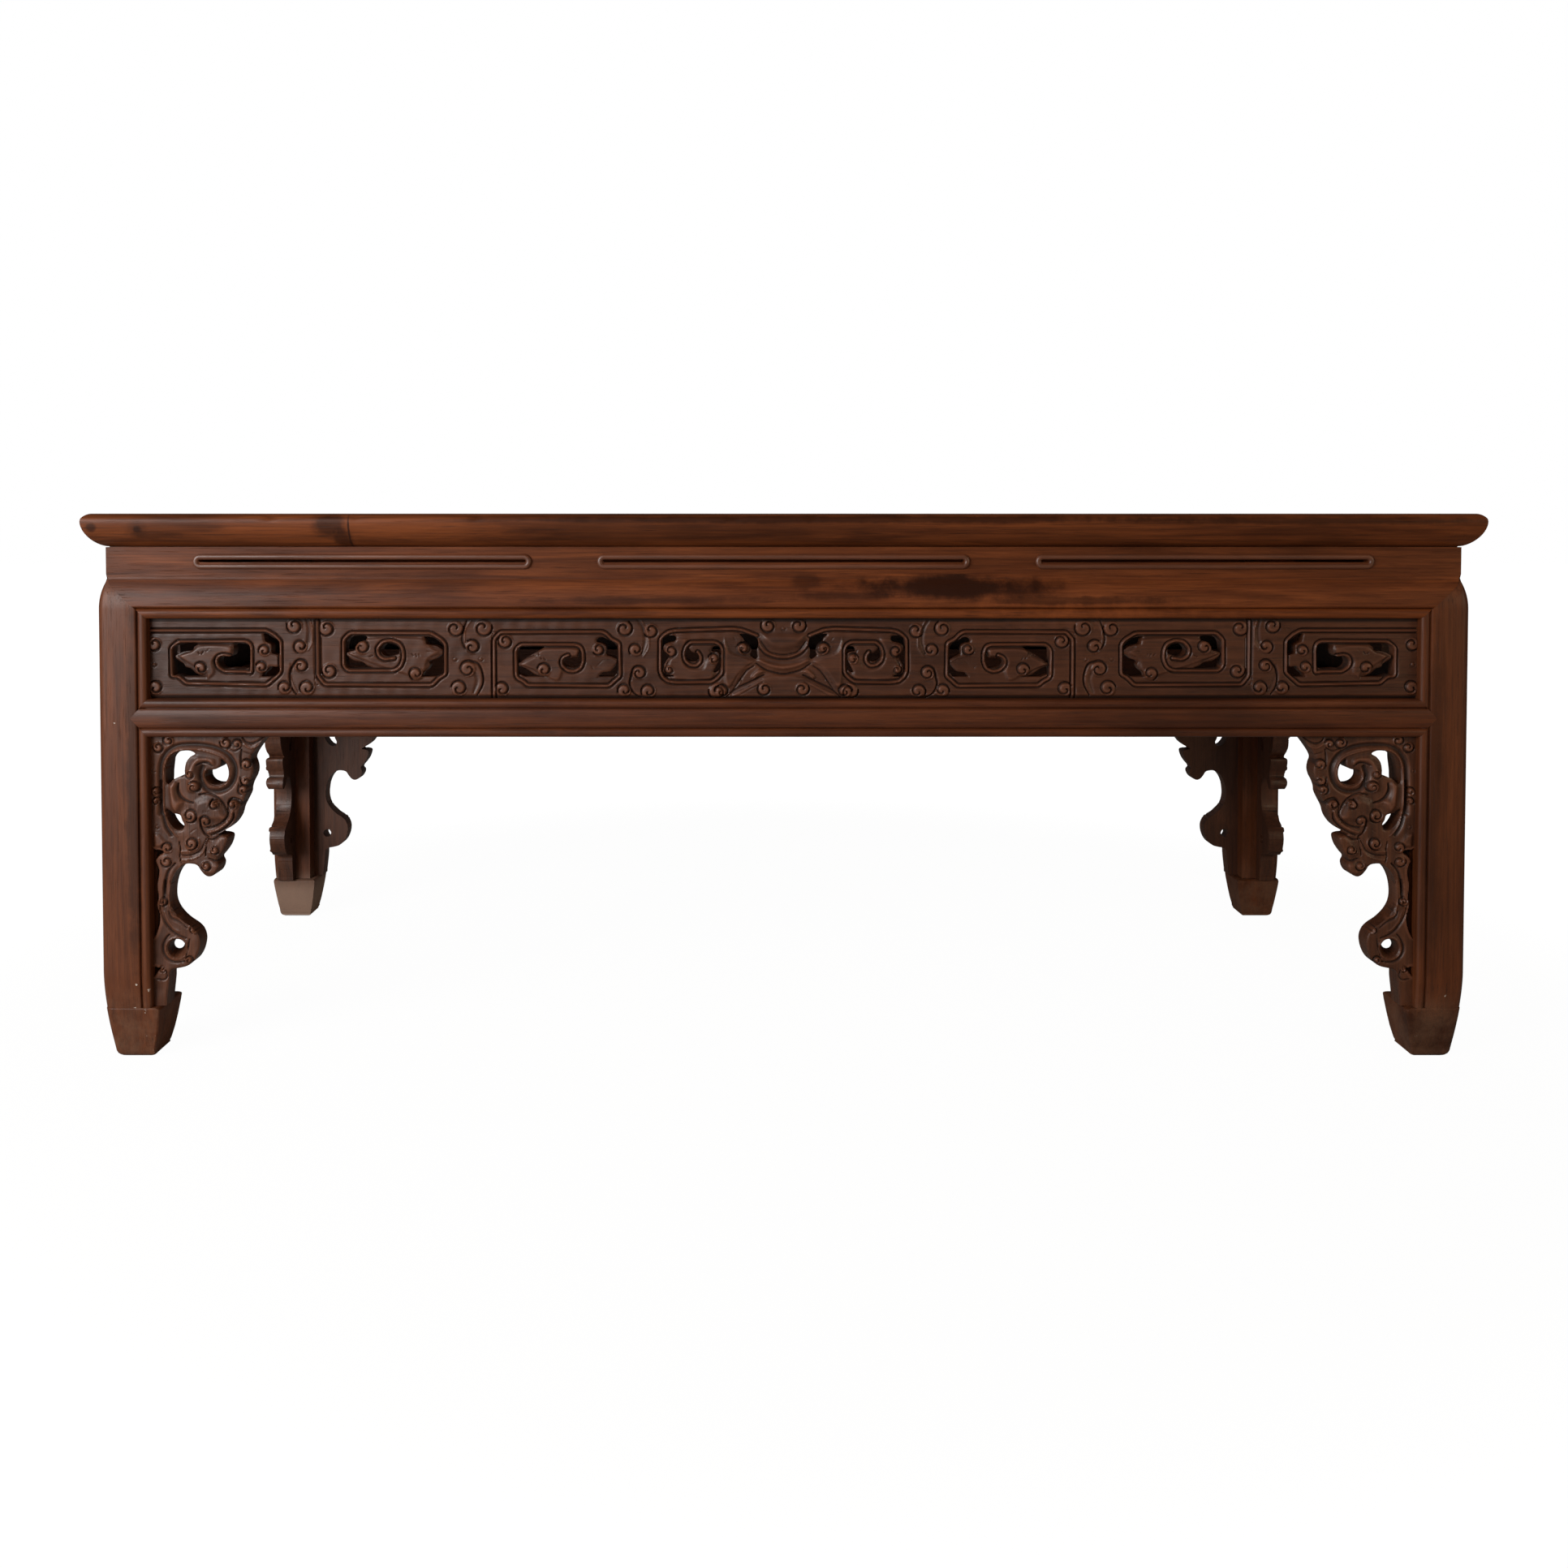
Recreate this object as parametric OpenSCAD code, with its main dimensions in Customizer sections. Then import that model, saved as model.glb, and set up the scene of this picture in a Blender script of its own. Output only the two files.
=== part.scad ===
// Carved coffee table: low waisted table with a mitred top, recessed waist with
// long slots, convex apron, openwork frieze, lower rails with pointed shoulders,
// eight openwork corner spandrels and four square legs ending in hoof feet.
// X runs to the right, the front faces -Y, Z is up, the floor is Z = 0. All mm.

/* [Frame] */
// Width over the legs
frame_w = 1208; // [1000:2:1500]
// Depth over the legs
frame_d = 496; // [440:4:700]
// Height from the floor to the top surface
height = 484; // [420:2:560]

/* [Top] */
// Thickness of the top at its frame
top_t = 29.5; // [27:0.5:36]
// How far the top stands out beyond the legs
overhang = 8.5; // [6:0.5:20]
// Width of the mitred frame members
top_rail_w = 70; // [66:1:90]
// How far the moulded edge runs in underneath
edge_in = 18; // [12:1:22]
// Height of the curved part of the moulded edge
edge_rise = 17; // [12:1:20]
// Thickness of the floating panel boards
panel_t = 12; // [12:0.5:13]
// Width of the battens under the panel
batten_w = 26; // [24:1:34]
// Distance from one batten to the next
batten_spacing = 270; // [200:5:300]

/* [Waist] */
// Height of the recessed waist
waist_h = 23.5; // [20:0.5:36]
// Recess of the waist behind the legs
waist_recess = 7; // [6.5:0.5:7.5]
// Clear height of the slots in the waist
slot_h = 3.3; // [2.4:0.1:5]
// Length of the middle slot
slot_mid = 318; // [240:2:340]
// Length of the slots at both ends of the long sides
slot_end = 288; // [200:2:310]
// Distance from the middle slot to the end slots
slot_step = 371; // [360:1:390]
// Length of the slot on the short sides
slot_short = 278; // [200:2:300]
// Width of the raised bead around each slot
slot_bead = 4.3; // [3:0.1:5.5]
// Height of the bead over the waist
bead_up = 1.2; // [0.8:0.1:1.6]

/* [Apron] */
// Height of the apron with its bead
apron_h = 39.2; // [34:0.2:46]
// Thickness of the apron
apron_t = 23; // [22:0.5:25]
// Width of the bead that runs round the openings
bead_w = 8.7; // [7:0.1:9.5]
// How far the convex face draws in at the top
apron_in = 6.5; // [4:0.5:6.5]

/* [Frieze] */
// Clear height of the openwork frieze
frieze_h = 71.3; // [60:0.5:84]
// Recess of the carved panels behind the legs
carve_back = 9; // [8:0.5:10]
// Thickness of the frieze
frieze_t = 12; // [11:0.5:16]

/* [Lower rail] */
// Height of the lower rail
rail_h = 33.2; // [28:0.1:40]
// Depth of the lower rail
rail_t = 30; // [28:1:34]
// How far the pointed shoulder reaches into the leg
rail_point = 14.5; // [10:0.5:16]

/* [Legs] */
// Side of the square leg
leg_w = 44; // [42:1:48]
// Radius of the outer corner of the leg
leg_r = 8; // [5:0.5:9]
// Height of the hoof foot
hoof_h = 46; // [38:1:56]
// How far the hoof stands out on the inner sides
hoof_out = 9; // [5:0.5:12]
// How far the outer faces of the hoof run in at the floor
hoof_in = 8; // [6:0.5:12]

/* [Spandrels] */
// Width of the spandrels on the long sides along the rail
spandrel_w = 102; // [90:1:120]
// Width of the spandrels on the short sides along the rail
spandrel_side_w = 68; // [60:1:80]
// Thickness of a spandrel
spandrel_t = 18; // [16:0.5:20]
// Radius of the ring hole at the foot of a spandrel
ring_r = 7.5; // [5:0.5:9]

/* [Fits] */
// Clearance on each side of a tenon, tongue or dowel
gap = 0.1; // [0.05:0.05:0.15]
// Thickness of the tongues on the carved panels
tongue_t = 6; // [5:0.5:7]
// Depth of the tongues on the carved panels
tongue_d = 5; // [4:0.5:5.5]
// Diameter of the corner dowels
dowel_d = 5; // [4:0.5:6]

/* [Hidden] */
$fn = 48;
half_w = frame_w / 2;
half_d = frame_d / 2;
z_under = height - top_t;
z_waist = z_under - waist_h;
z_apron = z_waist - apron_h;
z_rail = z_apron - frieze_h;
z_knee = z_rail - rail_h;
spandrel_h = z_knee - hoof_h;
// thickness of the mitred outer layer of the apron joint
layer = waist_recess + 8.5;
// length of the part of a member that the corner wedge leaves whole
wedge_in = 160;
// faces that overlap a cut by this much
over = 1;
// tongue of the waist
waist_tongue = 3;
waist_tongue_in = waist_recess + 2.5;
// first face of the tongues on the carved panels
tongue_in = carve_back + 3;
// how far the upper tongue of a spandrel stops short of its tip
tongue_end = 10;
// tenons that rise from the leg into the top, one to each side of the mitre
post_tenon = 10;
post_tenon_h = 16;
post_near = layer + 2;
post_far = post_near + post_tenon + 1;
// tongue across the mitre of the top
mitre_tongue = 10;
mitre_tongue_in = leg_w;
mitre_tongue_z = z_under + 7;
mitre_tongue_t = 8;
mitre_tongue_end = 8;
// corner dowel, from both outer faces of the legs
dowel_side = layer + 11;
dowel_front = mitre_tongue_in + mitre_tongue / 2;
dowel_l = 22.5;
// panel tongue and its groove
panel_z = height - panel_t;
panel_tongue_z = panel_z + 3;
panel_tongue_t = 5;
panel_tongue_d = 7.5;
panel_gap = 0.3;
top_inner_w = half_w + overhang - top_rail_w;
top_inner_d = half_d + overhang - top_rail_w;
batten_tenon = 12;
batten_tenon_z = z_under + 3;
batten_tenon_t = 8;
batten_cheek = 4;
dovetail_h = 4;
dovetail_neck = batten_w / 2 - 5;
dovetail_head = batten_w / 2 - 3;
board_tongue = 4;
board_tongue_z = panel_tongue_z + 0.5;
rail_layer = 10;
apron_tenon_in = layer + 1;
apron_tenon_t = 5;
apron_tenon_l = 16;
rail_tenon_in = 14;
rail_tenon_t = 9;
rail_tenon_l = 15;
bead_r = bead_w / 2;
inner_w = frame_w - 2 * leg_w;
inner_d = frame_d - 2 * leg_w;
// height of the shoulders of the tenons, below and above
apron_shoulder = bead_r + 3.15;
apron_shoulder_top = 6;
rail_shoulder = 6;
// sizes at which the carved panels are drawn
drawn_long = 1120;
drawn_short = 416;
drawn_frieze_h = 71.3;
drawing_up = 1.8;
drawn_spandrel_w = 102;
drawn_spandrel_h = 241.3;
// a narrower spandrel takes its full width again between these depths
narrow_from = 105;
narrow_to = 150;

// points on an elliptic arc
function arc(cx, cy, rx, ry, a0, a1, n) =
  [for (i = [0:n]) [cx + rx * cos(a0 + (a1 - a0) * i / n), cy + ry * sin(a0 + (a1 - a0) * i / n)]];

// one point of a smooth curve through p1 and p2
function curve_point(p0, p1, p2, p3, t) =
  0.5 * (2 * p1 + (p2 - p0) * t + (2 * p0 - 5 * p1 + 4 * p2 - p3) * t * t
  + (3 * p1 - p0 - 3 * p2 + p3) * t * t * t);

// closed smooth curve through the points, n steps from each to the next
function closed_curve(p, n) =
  [for (i = [0:len(p) - 1]) for (k = [0:n - 1])
    curve_point(p[(i + len(p) - 1) % len(p)], p[i], p[(i + 1) % len(p)], p[(i + 2) % len(p)], k / n)];

// open smooth curve through the points, both ends kept
function open_curve(p, n) =
  concat([for (i = [0:len(p) - 2]) for (k = [0:n - 1])
    curve_point(p[max(i - 1, 0)], p[i], p[i + 1], p[min(i + 2, len(p) - 1)], k / n)],
    [p[len(p) - 1]]);

// a face in Y and Z drawn along X, centred
module bar(length) {
  rotate([90, 0, 90])
    translate([0, 0, -length / 2])
      linear_extrude(length)
        children();
}

// a face in X and Z drawn from y0 to y1
module slab(y0, y1) {
  translate([0, y1, 0])
    rotate([90, 0, 0])
      linear_extrude(y1 - y0)
        children();
}

// a box given by its two corners
module box(x0, x1, y0, y1, z0, z1) {
  translate([x0, y0, z0])
    cube([x1 - x0, y1 - y0, z1 - z0]);
}

// turns a front member to the right (1), back (2) or left (3)
module to_side(turn) {
  rotate([0, 0, 90 * turn])
    children();
}

// sets a piece drawn from the outer corner of the front left leg to any corner
module to_corner(right, back) {
  mirror([right, 0, 0])
    mirror([0, back, 0])
      translate([-half_w, -half_d, 0])
        children();
}

// both ends of a member: x from the leg's outer side, y from its outer face
module both_ends(half, dist) {
  for (turn = [0, 1])
    mirror([turn, 0, 0])
      translate([-half, -dist, 0])
        children();
}

// wedge between the two corner diagonals
module wedge(half, dist, out, z0, z1) {
  translate([0, 0, z0])
    linear_extrude(z1 - z0)
      polygon([
        [-(half + out), -(dist + out)],
        [half + out, -(dist + out)],
        [half - wedge_in, -(dist - wedge_in)],
        [-(half - wedge_in), -(dist - wedge_in)]
      ]);
}

// moulded frame member of the top with its panel groove and waist groove
module top_profile(dist) {
  y0 = -(dist + overhang);
  difference() {
    polygon(concat(
      [[y0 + top_rail_w, z_under], [y0 + top_rail_w, height]],
      arc(y0 + 4, height - 4, 4, 4, 90, 180, 5),
      [
        [y0, z_under + edge_rise],
        [y0 + edge_in * 0.07, z_under + edge_rise * 0.83],
        [y0 + edge_in * 0.15, z_under + edge_rise * 0.67],
        [y0 + edge_in * 0.27, z_under + edge_rise * 0.50],
        [y0 + edge_in * 0.42, z_under + edge_rise * 0.34],
        [y0 + edge_in * 0.61, z_under + edge_rise * 0.18],
        [y0 + edge_in * 0.84, z_under + edge_rise * 0.05],
        [y0 + edge_in, z_under]
      ]
    ));
    translate([y0 + top_rail_w - panel_tongue_d - 0.5, panel_tongue_z - gap])
      square([panel_tongue_d + 2, panel_tongue_t + 2 * gap]);
    translate([-dist + waist_tongue_in - gap, z_under - over])
      square([waist_tongue + 2 * gap, waist_tongue + gap + over]);
  }
}

module top_rail(half, dist, long) {
  difference() {
    union() {
      intersection() {
        bar(2 * (half + overhang) + 2)
          top_profile(dist);
        wedge(half, dist, overhang, z_under - over, height + over);
      }
      if (long)
        both_ends(half, dist)
          box(mitre_tongue_end, mitre_tongue_in + mitre_tongue,
            mitre_tongue_in, mitre_tongue_in + mitre_tongue,
            mitre_tongue_z, mitre_tongue_z + mitre_tongue_t);
    }
    both_ends(half, dist)
      union() {
        box(post_far - gap, post_far + post_tenon + gap, post_near - gap, post_near + post_tenon + gap,
          z_under - over, z_under + post_tenon_h + gap);
        if (!long)
          box(mitre_tongue_in - gap, mitre_tongue_in + mitre_tongue + gap,
            mitre_tongue_end - gap, mitre_tongue_in + mitre_tongue + gap,
            mitre_tongue_z - gap, mitre_tongue_z + mitre_tongue_t + gap);
        translate([long ? dowel_side : dowel_front, long ? dowel_front : dowel_side, z_under - over])
          cylinder(h = dowel_l + gap + over, d = dowel_d + 2 * gap);
      }
    if (long)
      for (x = [-batten_spacing, 0, batten_spacing])
        box(x - batten_w / 2 + batten_cheek - gap, x + batten_w / 2 - batten_cheek + gap,
          -(top_inner_d + batten_tenon + gap), -(top_inner_d - over),
          batten_tenon_z - gap, batten_tenon_z + batten_tenon_t + gap);
  }
}

module batten_section() {
  polygon([
    [-batten_w / 2, z_under],
    [batten_w / 2, z_under],
    [batten_w / 2, panel_z],
    [dovetail_neck, panel_z],
    [dovetail_head, panel_z + dovetail_h],
    [-dovetail_head, panel_z + dovetail_h],
    [-dovetail_neck, panel_z],
    [-batten_w / 2, panel_z]
  ]);
}

module dovetail_section() {
  polygon([
    [-dovetail_neck - gap, panel_z - over],
    [dovetail_neck + gap, panel_z - over],
    [dovetail_neck + gap, panel_z],
    [dovetail_head + gap, panel_z + dovetail_h + gap],
    [-dovetail_head - gap, panel_z + dovetail_h + gap],
    [-dovetail_neck - gap, panel_z]
  ]);
}

module batten(x) {
  translate([x, 0, 0])
    union() {
      slab(-(top_inner_d - gap), top_inner_d - gap)
        batten_section();
      box(-batten_w / 2 + batten_cheek, batten_w / 2 - batten_cheek,
        -(top_inner_d + batten_tenon), top_inner_d + batten_tenon,
        batten_tenon_z, batten_tenon_z + batten_tenon_t);
    }
}

// one of the two floating boards; the front one carries the middle tongue
module top_board(front) {
  difference() {
    union() {
      box(-(top_inner_w - panel_gap), top_inner_w - panel_gap, -(top_inner_d - panel_gap), 0,
        panel_z, height);
      box(-(top_inner_w + panel_tongue_d), top_inner_w + panel_tongue_d,
        -(top_inner_d + panel_tongue_d), 0, panel_tongue_z, panel_tongue_z + panel_tongue_t);
      if (front)
        box(-(top_inner_w - panel_gap), top_inner_w - panel_gap, -over, board_tongue,
          board_tongue_z, board_tongue_z + board_tongue);
    }
    if (!front)
      box(-(half_w + overhang), half_w + overhang, -board_tongue - gap, over,
        board_tongue_z - gap, board_tongue_z + board_tongue + gap);
    for (x = [-batten_spacing, 0, batten_spacing])
      translate([x, 0, 0])
        slab(-top_inner_d, board_tongue + over)
          dovetail_section();
  }
}

// a slot outline with round ends
module slot_shape(length, wide) {
  union() {
    square([length - wide, wide], center = true);
    for (s = [-1, 1])
      translate([s * (length - wide) / 2, 0])
        circle(d = wide);
  }
}

module waist_slots(centres, lengths, grow, y0, y1) {
  for (i = [0:len(centres) - 1])
    translate([centres[i], 0, z_waist + waist_h / 2])
      slab(y0, y1)
        slot_shape(lengths[i] + 2 * grow, slot_h + 2 * grow);
}

module waist(half, dist, centres, lengths) {
  y0 = -dist + waist_recess;
  difference() {
    union() {
      intersection() {
        union() {
          box(-half, half, y0, -dist + layer, z_waist, z_under);
          box(-half, half, -dist + waist_tongue_in, -dist + waist_tongue_in + waist_tongue,
            z_waist - waist_tongue, z_under + waist_tongue);
        }
        wedge(half, dist, 0, z_waist - 2 * waist_tongue, z_under + 2 * waist_tongue);
      }
      waist_slots(centres, lengths, slot_bead, y0 - bead_up / 2, y0 + over);
      waist_slots(centres, lengths, slot_bead - 0.8, y0 - bead_up, y0 + over);
    }
    waist_slots(centres, lengths, 0.8, y0 - bead_up - over, y0 - bead_up / 2);
    waist_slots(centres, lengths, 0, y0 - bead_up - over, -dist + layer + over);
  }
}

// convex face over a quirk and a bead, from the bottom of the apron up
function apron_face(dist) = concat(
  arc(-dist + 3.6, z_apron + bead_r, 3.2, bead_r, 270, 90, 10),
  [[-dist + 3.2, z_apron + bead_w + 0.5], [-dist + 1.2, z_apron + bead_w + 0.6]],
  [[-dist + 0.3, z_apron + bead_w + 1.8]],
  arc(-dist + apron_in, z_apron + bead_w + 5, apron_in, apron_h - bead_w - 5, 180, 90, 12)
);

module apron_profile(dist) {
  difference() {
    polygon(concat(
      apron_face(dist),
      [[-dist + apron_t, z_waist], [-dist + apron_t, z_apron]]
    ));
    translate([-dist + waist_tongue_in - gap, z_waist - waist_tongue - gap])
      square([waist_tongue + 2 * gap, waist_tongue + 2 * gap + over]);
    translate([-dist + tongue_in - gap, z_apron - over])
      square([tongue_t + 2 * gap, tongue_d + gap + over]);
  }
}

module apron(half, dist) {
  union() {
    intersection() {
      bar(2 * half)
        apron_profile(dist);
      slab(-dist - over, -dist + layer)
        polygon([
          [-half, z_waist],
          [-half + leg_w, z_apron],
          [half - leg_w, z_apron],
          [half, z_waist]
        ]);
      wedge(half, dist, 0, z_apron - over, z_waist + over);
    }
    intersection() {
      bar(2 * (half - leg_w))
        apron_profile(dist);
      box(-half, half, -dist + layer - over, -dist + apron_t + over, z_apron - over, z_waist + over);
    }
    both_ends(half, dist)
      box(leg_w - apron_tenon_l, leg_w + over, apron_tenon_in, apron_tenon_in + apron_tenon_t,
        z_apron + apron_shoulder, z_waist - apron_shoulder_top);
  }
}

// section of the leg: round outer corner, soft faces, quirk and bead on the inner edges
function leg_edge() = concat(
  arc(leg_w - bead_r + 0.4, 3.6, bead_r - 0.4, 3.2, 360, 180, 10),
  [[leg_w - bead_w, 3.2], [leg_w - bead_w - 0.5, 1.2], [leg_w - bead_w - 1.8, 0.4]],
  [[leg_w * 0.62, 0.1], [leg_w * 0.5, 0], [leg_w * 0.35, 0.1]],
  arc(leg_r + 0.4, leg_r + 0.4, leg_r, leg_r, 270, 225, 5)
);

function swapped(p) = [for (i = [len(p) - 1:-1:0]) [p[i][1], p[i][0]]];

module leg_section() {
  polygon(concat(
    leg_edge(),
    [for (i = [1:len(swapped(leg_edge())) - 1]) swapped(leg_edge())[i]],
    [[leg_w, leg_w]]
  ));
}

// one level of the hoof: outer faces at f, inner faces at t
module hoof_level(z, f, t, r) {
  translate([0, 0, z])
    linear_extrude(0.02)
      polygon(concat(
        arc(f + r, f + r, r, r, 180, 270, 6),
        arc(t - 2, f + 2, 2, 2, 270, 360, 3),
        [[t, t]],
        arc(f + 2, t - 2, 2, 2, 90, 180, 3)
      ));
}

module hoof() {
  ledge = leg_w + hoof_out;
  hull() {
    hoof_level(hoof_h - 0.02, 0.3, ledge - 0.6, leg_r);
    hoof_level(hoof_h - 2, 0.5, ledge, leg_r);
    hoof_level(hoof_h * 0.76, hoof_in * 0.24, ledge - 1.5, leg_r);
    hoof_level(hoof_h * 0.55, hoof_in * 0.38, ledge - 3, leg_r);
    hoof_level(hoof_h * 0.32, hoof_in * 0.55, ledge - 5, leg_r);
    hoof_level(hoof_h * 0.13, hoof_in * 0.71, ledge - 7.2, leg_r - 1);
    hoof_level(hoof_h * 0.035, hoof_in * 0.85, ledge - 8.6, leg_r - 1);
    hoof_level(0, hoof_in, ledge - 10.5, leg_r - 2);
  }
}

// outer layer of the apron joint, cut away above the mitre on one face
module apron_seat() {
  slab(-over, layer)
    polygon([
      [0, z_waist],
      [leg_w, z_apron],
      [leg_w + over, z_apron],
      [leg_w + over, z_under + over],
      [-over, z_under + over],
      [-over, z_waist]
    ]);
}

// strip in front of the convex shoulder
module shoulder_trim() {
  translate([leg_w / 2, 0, 0])
    bar(leg_w + 4)
      polygon(concat(
        arc(apron_in, z_apron + bead_w + 5, apron_in, apron_h - bead_w - 5, 180, 90, 12),
        [[apron_in, z_waist + over], [-over, z_waist + over], [-over, z_apron + bead_w + 5]]
      ));
}

// cuts in one inner side of the leg: apron mortise, rail seat, tongue groove
module leg_cuts() {
  apron_seat();
  shoulder_trim();
  box(leg_w - apron_tenon_l - gap, leg_w + over,
    apron_tenon_in - gap, apron_tenon_in + apron_tenon_t + gap,
    z_apron + apron_shoulder - gap, z_waist - apron_shoulder_top + gap);
  slab(-over, rail_layer)
    polygon([
      [leg_w, z_knee],
      [leg_w - rail_point, z_knee + rail_h / 2],
      [leg_w, z_rail],
      [leg_w + over, z_rail],
      [leg_w + over, z_knee]
    ]);
  box(leg_w - rail_tenon_l - gap, leg_w + over, rail_tenon_in - gap,
    rail_tenon_in + rail_tenon_t + gap, z_knee + rail_shoulder - gap, z_rail - rail_shoulder + gap);
  box(leg_w - tongue_d - gap, leg_w + over, tongue_in - gap, tongue_in + tongue_t + gap,
    hoof_h, z_apron);
}

module leg() {
  union() {
    difference() {
      union() {
        translate([0, 0, hoof_h - 0.5])
          linear_extrude(z_waist - hoof_h + 0.5)
            leg_section();
        box(layer, leg_w, layer, leg_w, z_waist - over, z_under);
      }
      leg_cuts();
      mirror([1, -1, 0])
        leg_cuts();
    }
    hoof();
    box(post_far, post_far + post_tenon, post_near, post_near + post_tenon,
      z_under - over, z_under + post_tenon_h);
    box(post_near, post_near + post_tenon, post_far, post_far + post_tenon,
      z_under - over, z_under + post_tenon_h);
  }
}

// two beads with a convex band between them
module rail_profile(dist) {
  band = rail_h - 2 * (bead_w - 1) - 1.4;
  r = (bead_w - 1) / 2;
  difference() {
    polygon(concat(
      arc(-dist + 3.4, z_knee + r, 3, r, 270, 90, 10),
      [[-dist + 3.2, z_knee + 2 * r + 0.4]],
      arc(-dist + 1.6, z_knee + rail_h / 2, 1.6, band / 2, 270, 90, 10),
      [[-dist + 3.2, z_rail - 2 * r - 0.4]],
      arc(-dist + 3.4, z_rail - r, 3, r, 270, 90, 10),
      [[-dist + rail_t, z_rail], [-dist + rail_t, z_knee]]
    ));
    translate([-dist + tongue_in - gap, z_rail - tongue_d - gap])
      square([tongue_t + 2 * gap, tongue_d + gap + over]);
  }
}

module rail(half, dist, bracket_w) {
  difference() {
    union() {
      intersection() {
        bar(2 * half)
          rail_profile(dist);
        slab(-dist - over, -dist + rail_layer)
          polygon([
            [-(half - leg_w), z_knee],
            [half - leg_w, z_knee],
            [half - leg_w + rail_point, z_knee + rail_h / 2],
            [half - leg_w, z_rail],
            [-(half - leg_w), z_rail],
            [-(half - leg_w) - rail_point, z_knee + rail_h / 2]
          ]);
      }
      intersection() {
        bar(2 * (half - leg_w))
          rail_profile(dist);
        box(-half, half, -dist + rail_layer - over, -dist + rail_t + over,
          z_knee - over, z_rail + over);
      }
      both_ends(half, dist)
        box(leg_w - rail_tenon_l, leg_w + over, rail_tenon_in, rail_tenon_in + rail_tenon_t,
          z_knee + rail_shoulder, z_rail - rail_shoulder);
    }
    both_ends(half, dist)
      box(leg_w - over, leg_w + bracket_w + gap, tongue_in - gap, tongue_in + tongue_t + gap,
        z_knee - over, z_knee + tongue_d + gap);
  }
}

// openings of the frieze in the first frame, a hooked head that faces left
frame_one = [
  [[20, 41], [25.5, 45.5], [35, 47], [45, 47], [41, 44.5], [37, 40.5], [29, 39.5], [23.5, 36],
    [28, 31], [31.5, 27], [38, 23], [45, 18.5], [48.5, 15.5], [46, 13.5], [34, 13.5], [28.5, 16.5],
    [20, 19]],
  [[75, 46], [86, 46.5], [88, 42], [87.5, 25.5], [80, 24.5], [66, 24.5], [61, 28.5], [62, 34.5],
    [67, 36.5], [72, 36], [74, 40]],
  [[101, 55], [106, 54.5], [113.5, 49], [114, 38], [109.5, 38.5], [106.5, 43.5], [103, 49]],
  [[114, 28], [113, 20.5], [105, 14], [98.5, 13.5], [99, 20], [103, 25.5], [109.5, 26.5]]
];

// openings in the second frame, a head with a ring at its middle
frame_two = [
  [[172, 49], [178, 53.5], [190, 54], [189, 49.5], [183.5, 46.5], [180, 41.5], [174.5, 38],
    [180, 33], [188, 30], [194, 26], [175, 25.2], [172, 28.5]],
  [[212, 48], [205.5, 45.5], [204, 41], [206, 36], [212, 34.2], [220.5, 34.2], [221, 41], [218, 46.5]],
  [[243, 53], [248, 53.5], [256.5, 49.5], [259, 44], [252.5, 45], [244.5, 47]],
  [[259, 35], [259, 20.5], [251.5, 15], [241, 14.5], [241.5, 19.5], [246, 24], [247.5, 31], [253, 34]]
];

// openings in the third frame, a pointed head with a comma hole
frame_three = [
  [[325, 40], [329, 43.8], [346, 44], [340, 39.5], [333, 35], [328, 30.5], [334, 24], [343, 19.5],
    [351, 17.3], [350, 14.8], [337, 14.5], [331, 18], [325, 20]],
  [[377.5, 40.5], [381.5, 39.5], [382.5, 34], [380.5, 27.5], [374, 25], [368, 26], [365, 30],
    [367, 34], [372, 34.8], [377, 35]],
  [[395, 52.5], [402.5, 52.8], [412, 47.8], [413, 37], [406.5, 37], [403.5, 42], [399, 47.5]],
  [[413, 29], [412.5, 21.5], [404.5, 16.2], [396, 15], [399, 20.5], [405.5, 25]]
];

// openings in the fourth frame, next to the middle of the frieze
frame_four = [
  [[452.5, 50], [457.5, 54.3], [463.5, 54.8], [463, 50], [458, 47], [453, 46]],
  [[452.5, 38.5], [458, 36.8], [461, 35], [457.5, 30.5], [453, 28]],
  [[473.5, 40.2], [480.5, 40.3], [486, 37], [486, 33], [480.5, 30.3], [475.5, 31.5], [473, 36]],
  [[491, 46], [503, 45.5], [505.5, 42], [505, 37.5], [500, 38.5], [496, 41]]
];

// openings of one half, in shares of the clear length and height
module half_openings(frames, length, full) {
  for (frame = frames)
    for (hole = frame)
      polygon(closed_curve([
        for (p = hole)
          [p[0] * length / full, (p[1] + drawing_up) * frieze_h / drawn_frieze_h]
      ], 3));
}

module frieze(half, dist, frames, full) {
  length = 2 * (half - leg_w);
  y0 = -dist + carve_back;
  y1 = -dist + tongue_in;
  difference() {
    union() {
      box(-length / 2, length / 2, y0, y0 + frieze_t, z_rail, z_apron);
      box(-length / 2 - tongue_d, length / 2 + tongue_d, y1, y1 + tongue_t, z_rail, z_apron);
      box(-length / 2, length / 2, y1, y1 + tongue_t, z_rail - tongue_d, z_apron + tongue_d);
    }
    for (turn = [0, 1])
      mirror([turn, 0, 0])
        translate([-length / 2, 0, z_rail])
          slab(y0 - over, y0 + frieze_t + over)
            half_openings(frames, length, full);
  }
}

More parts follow.
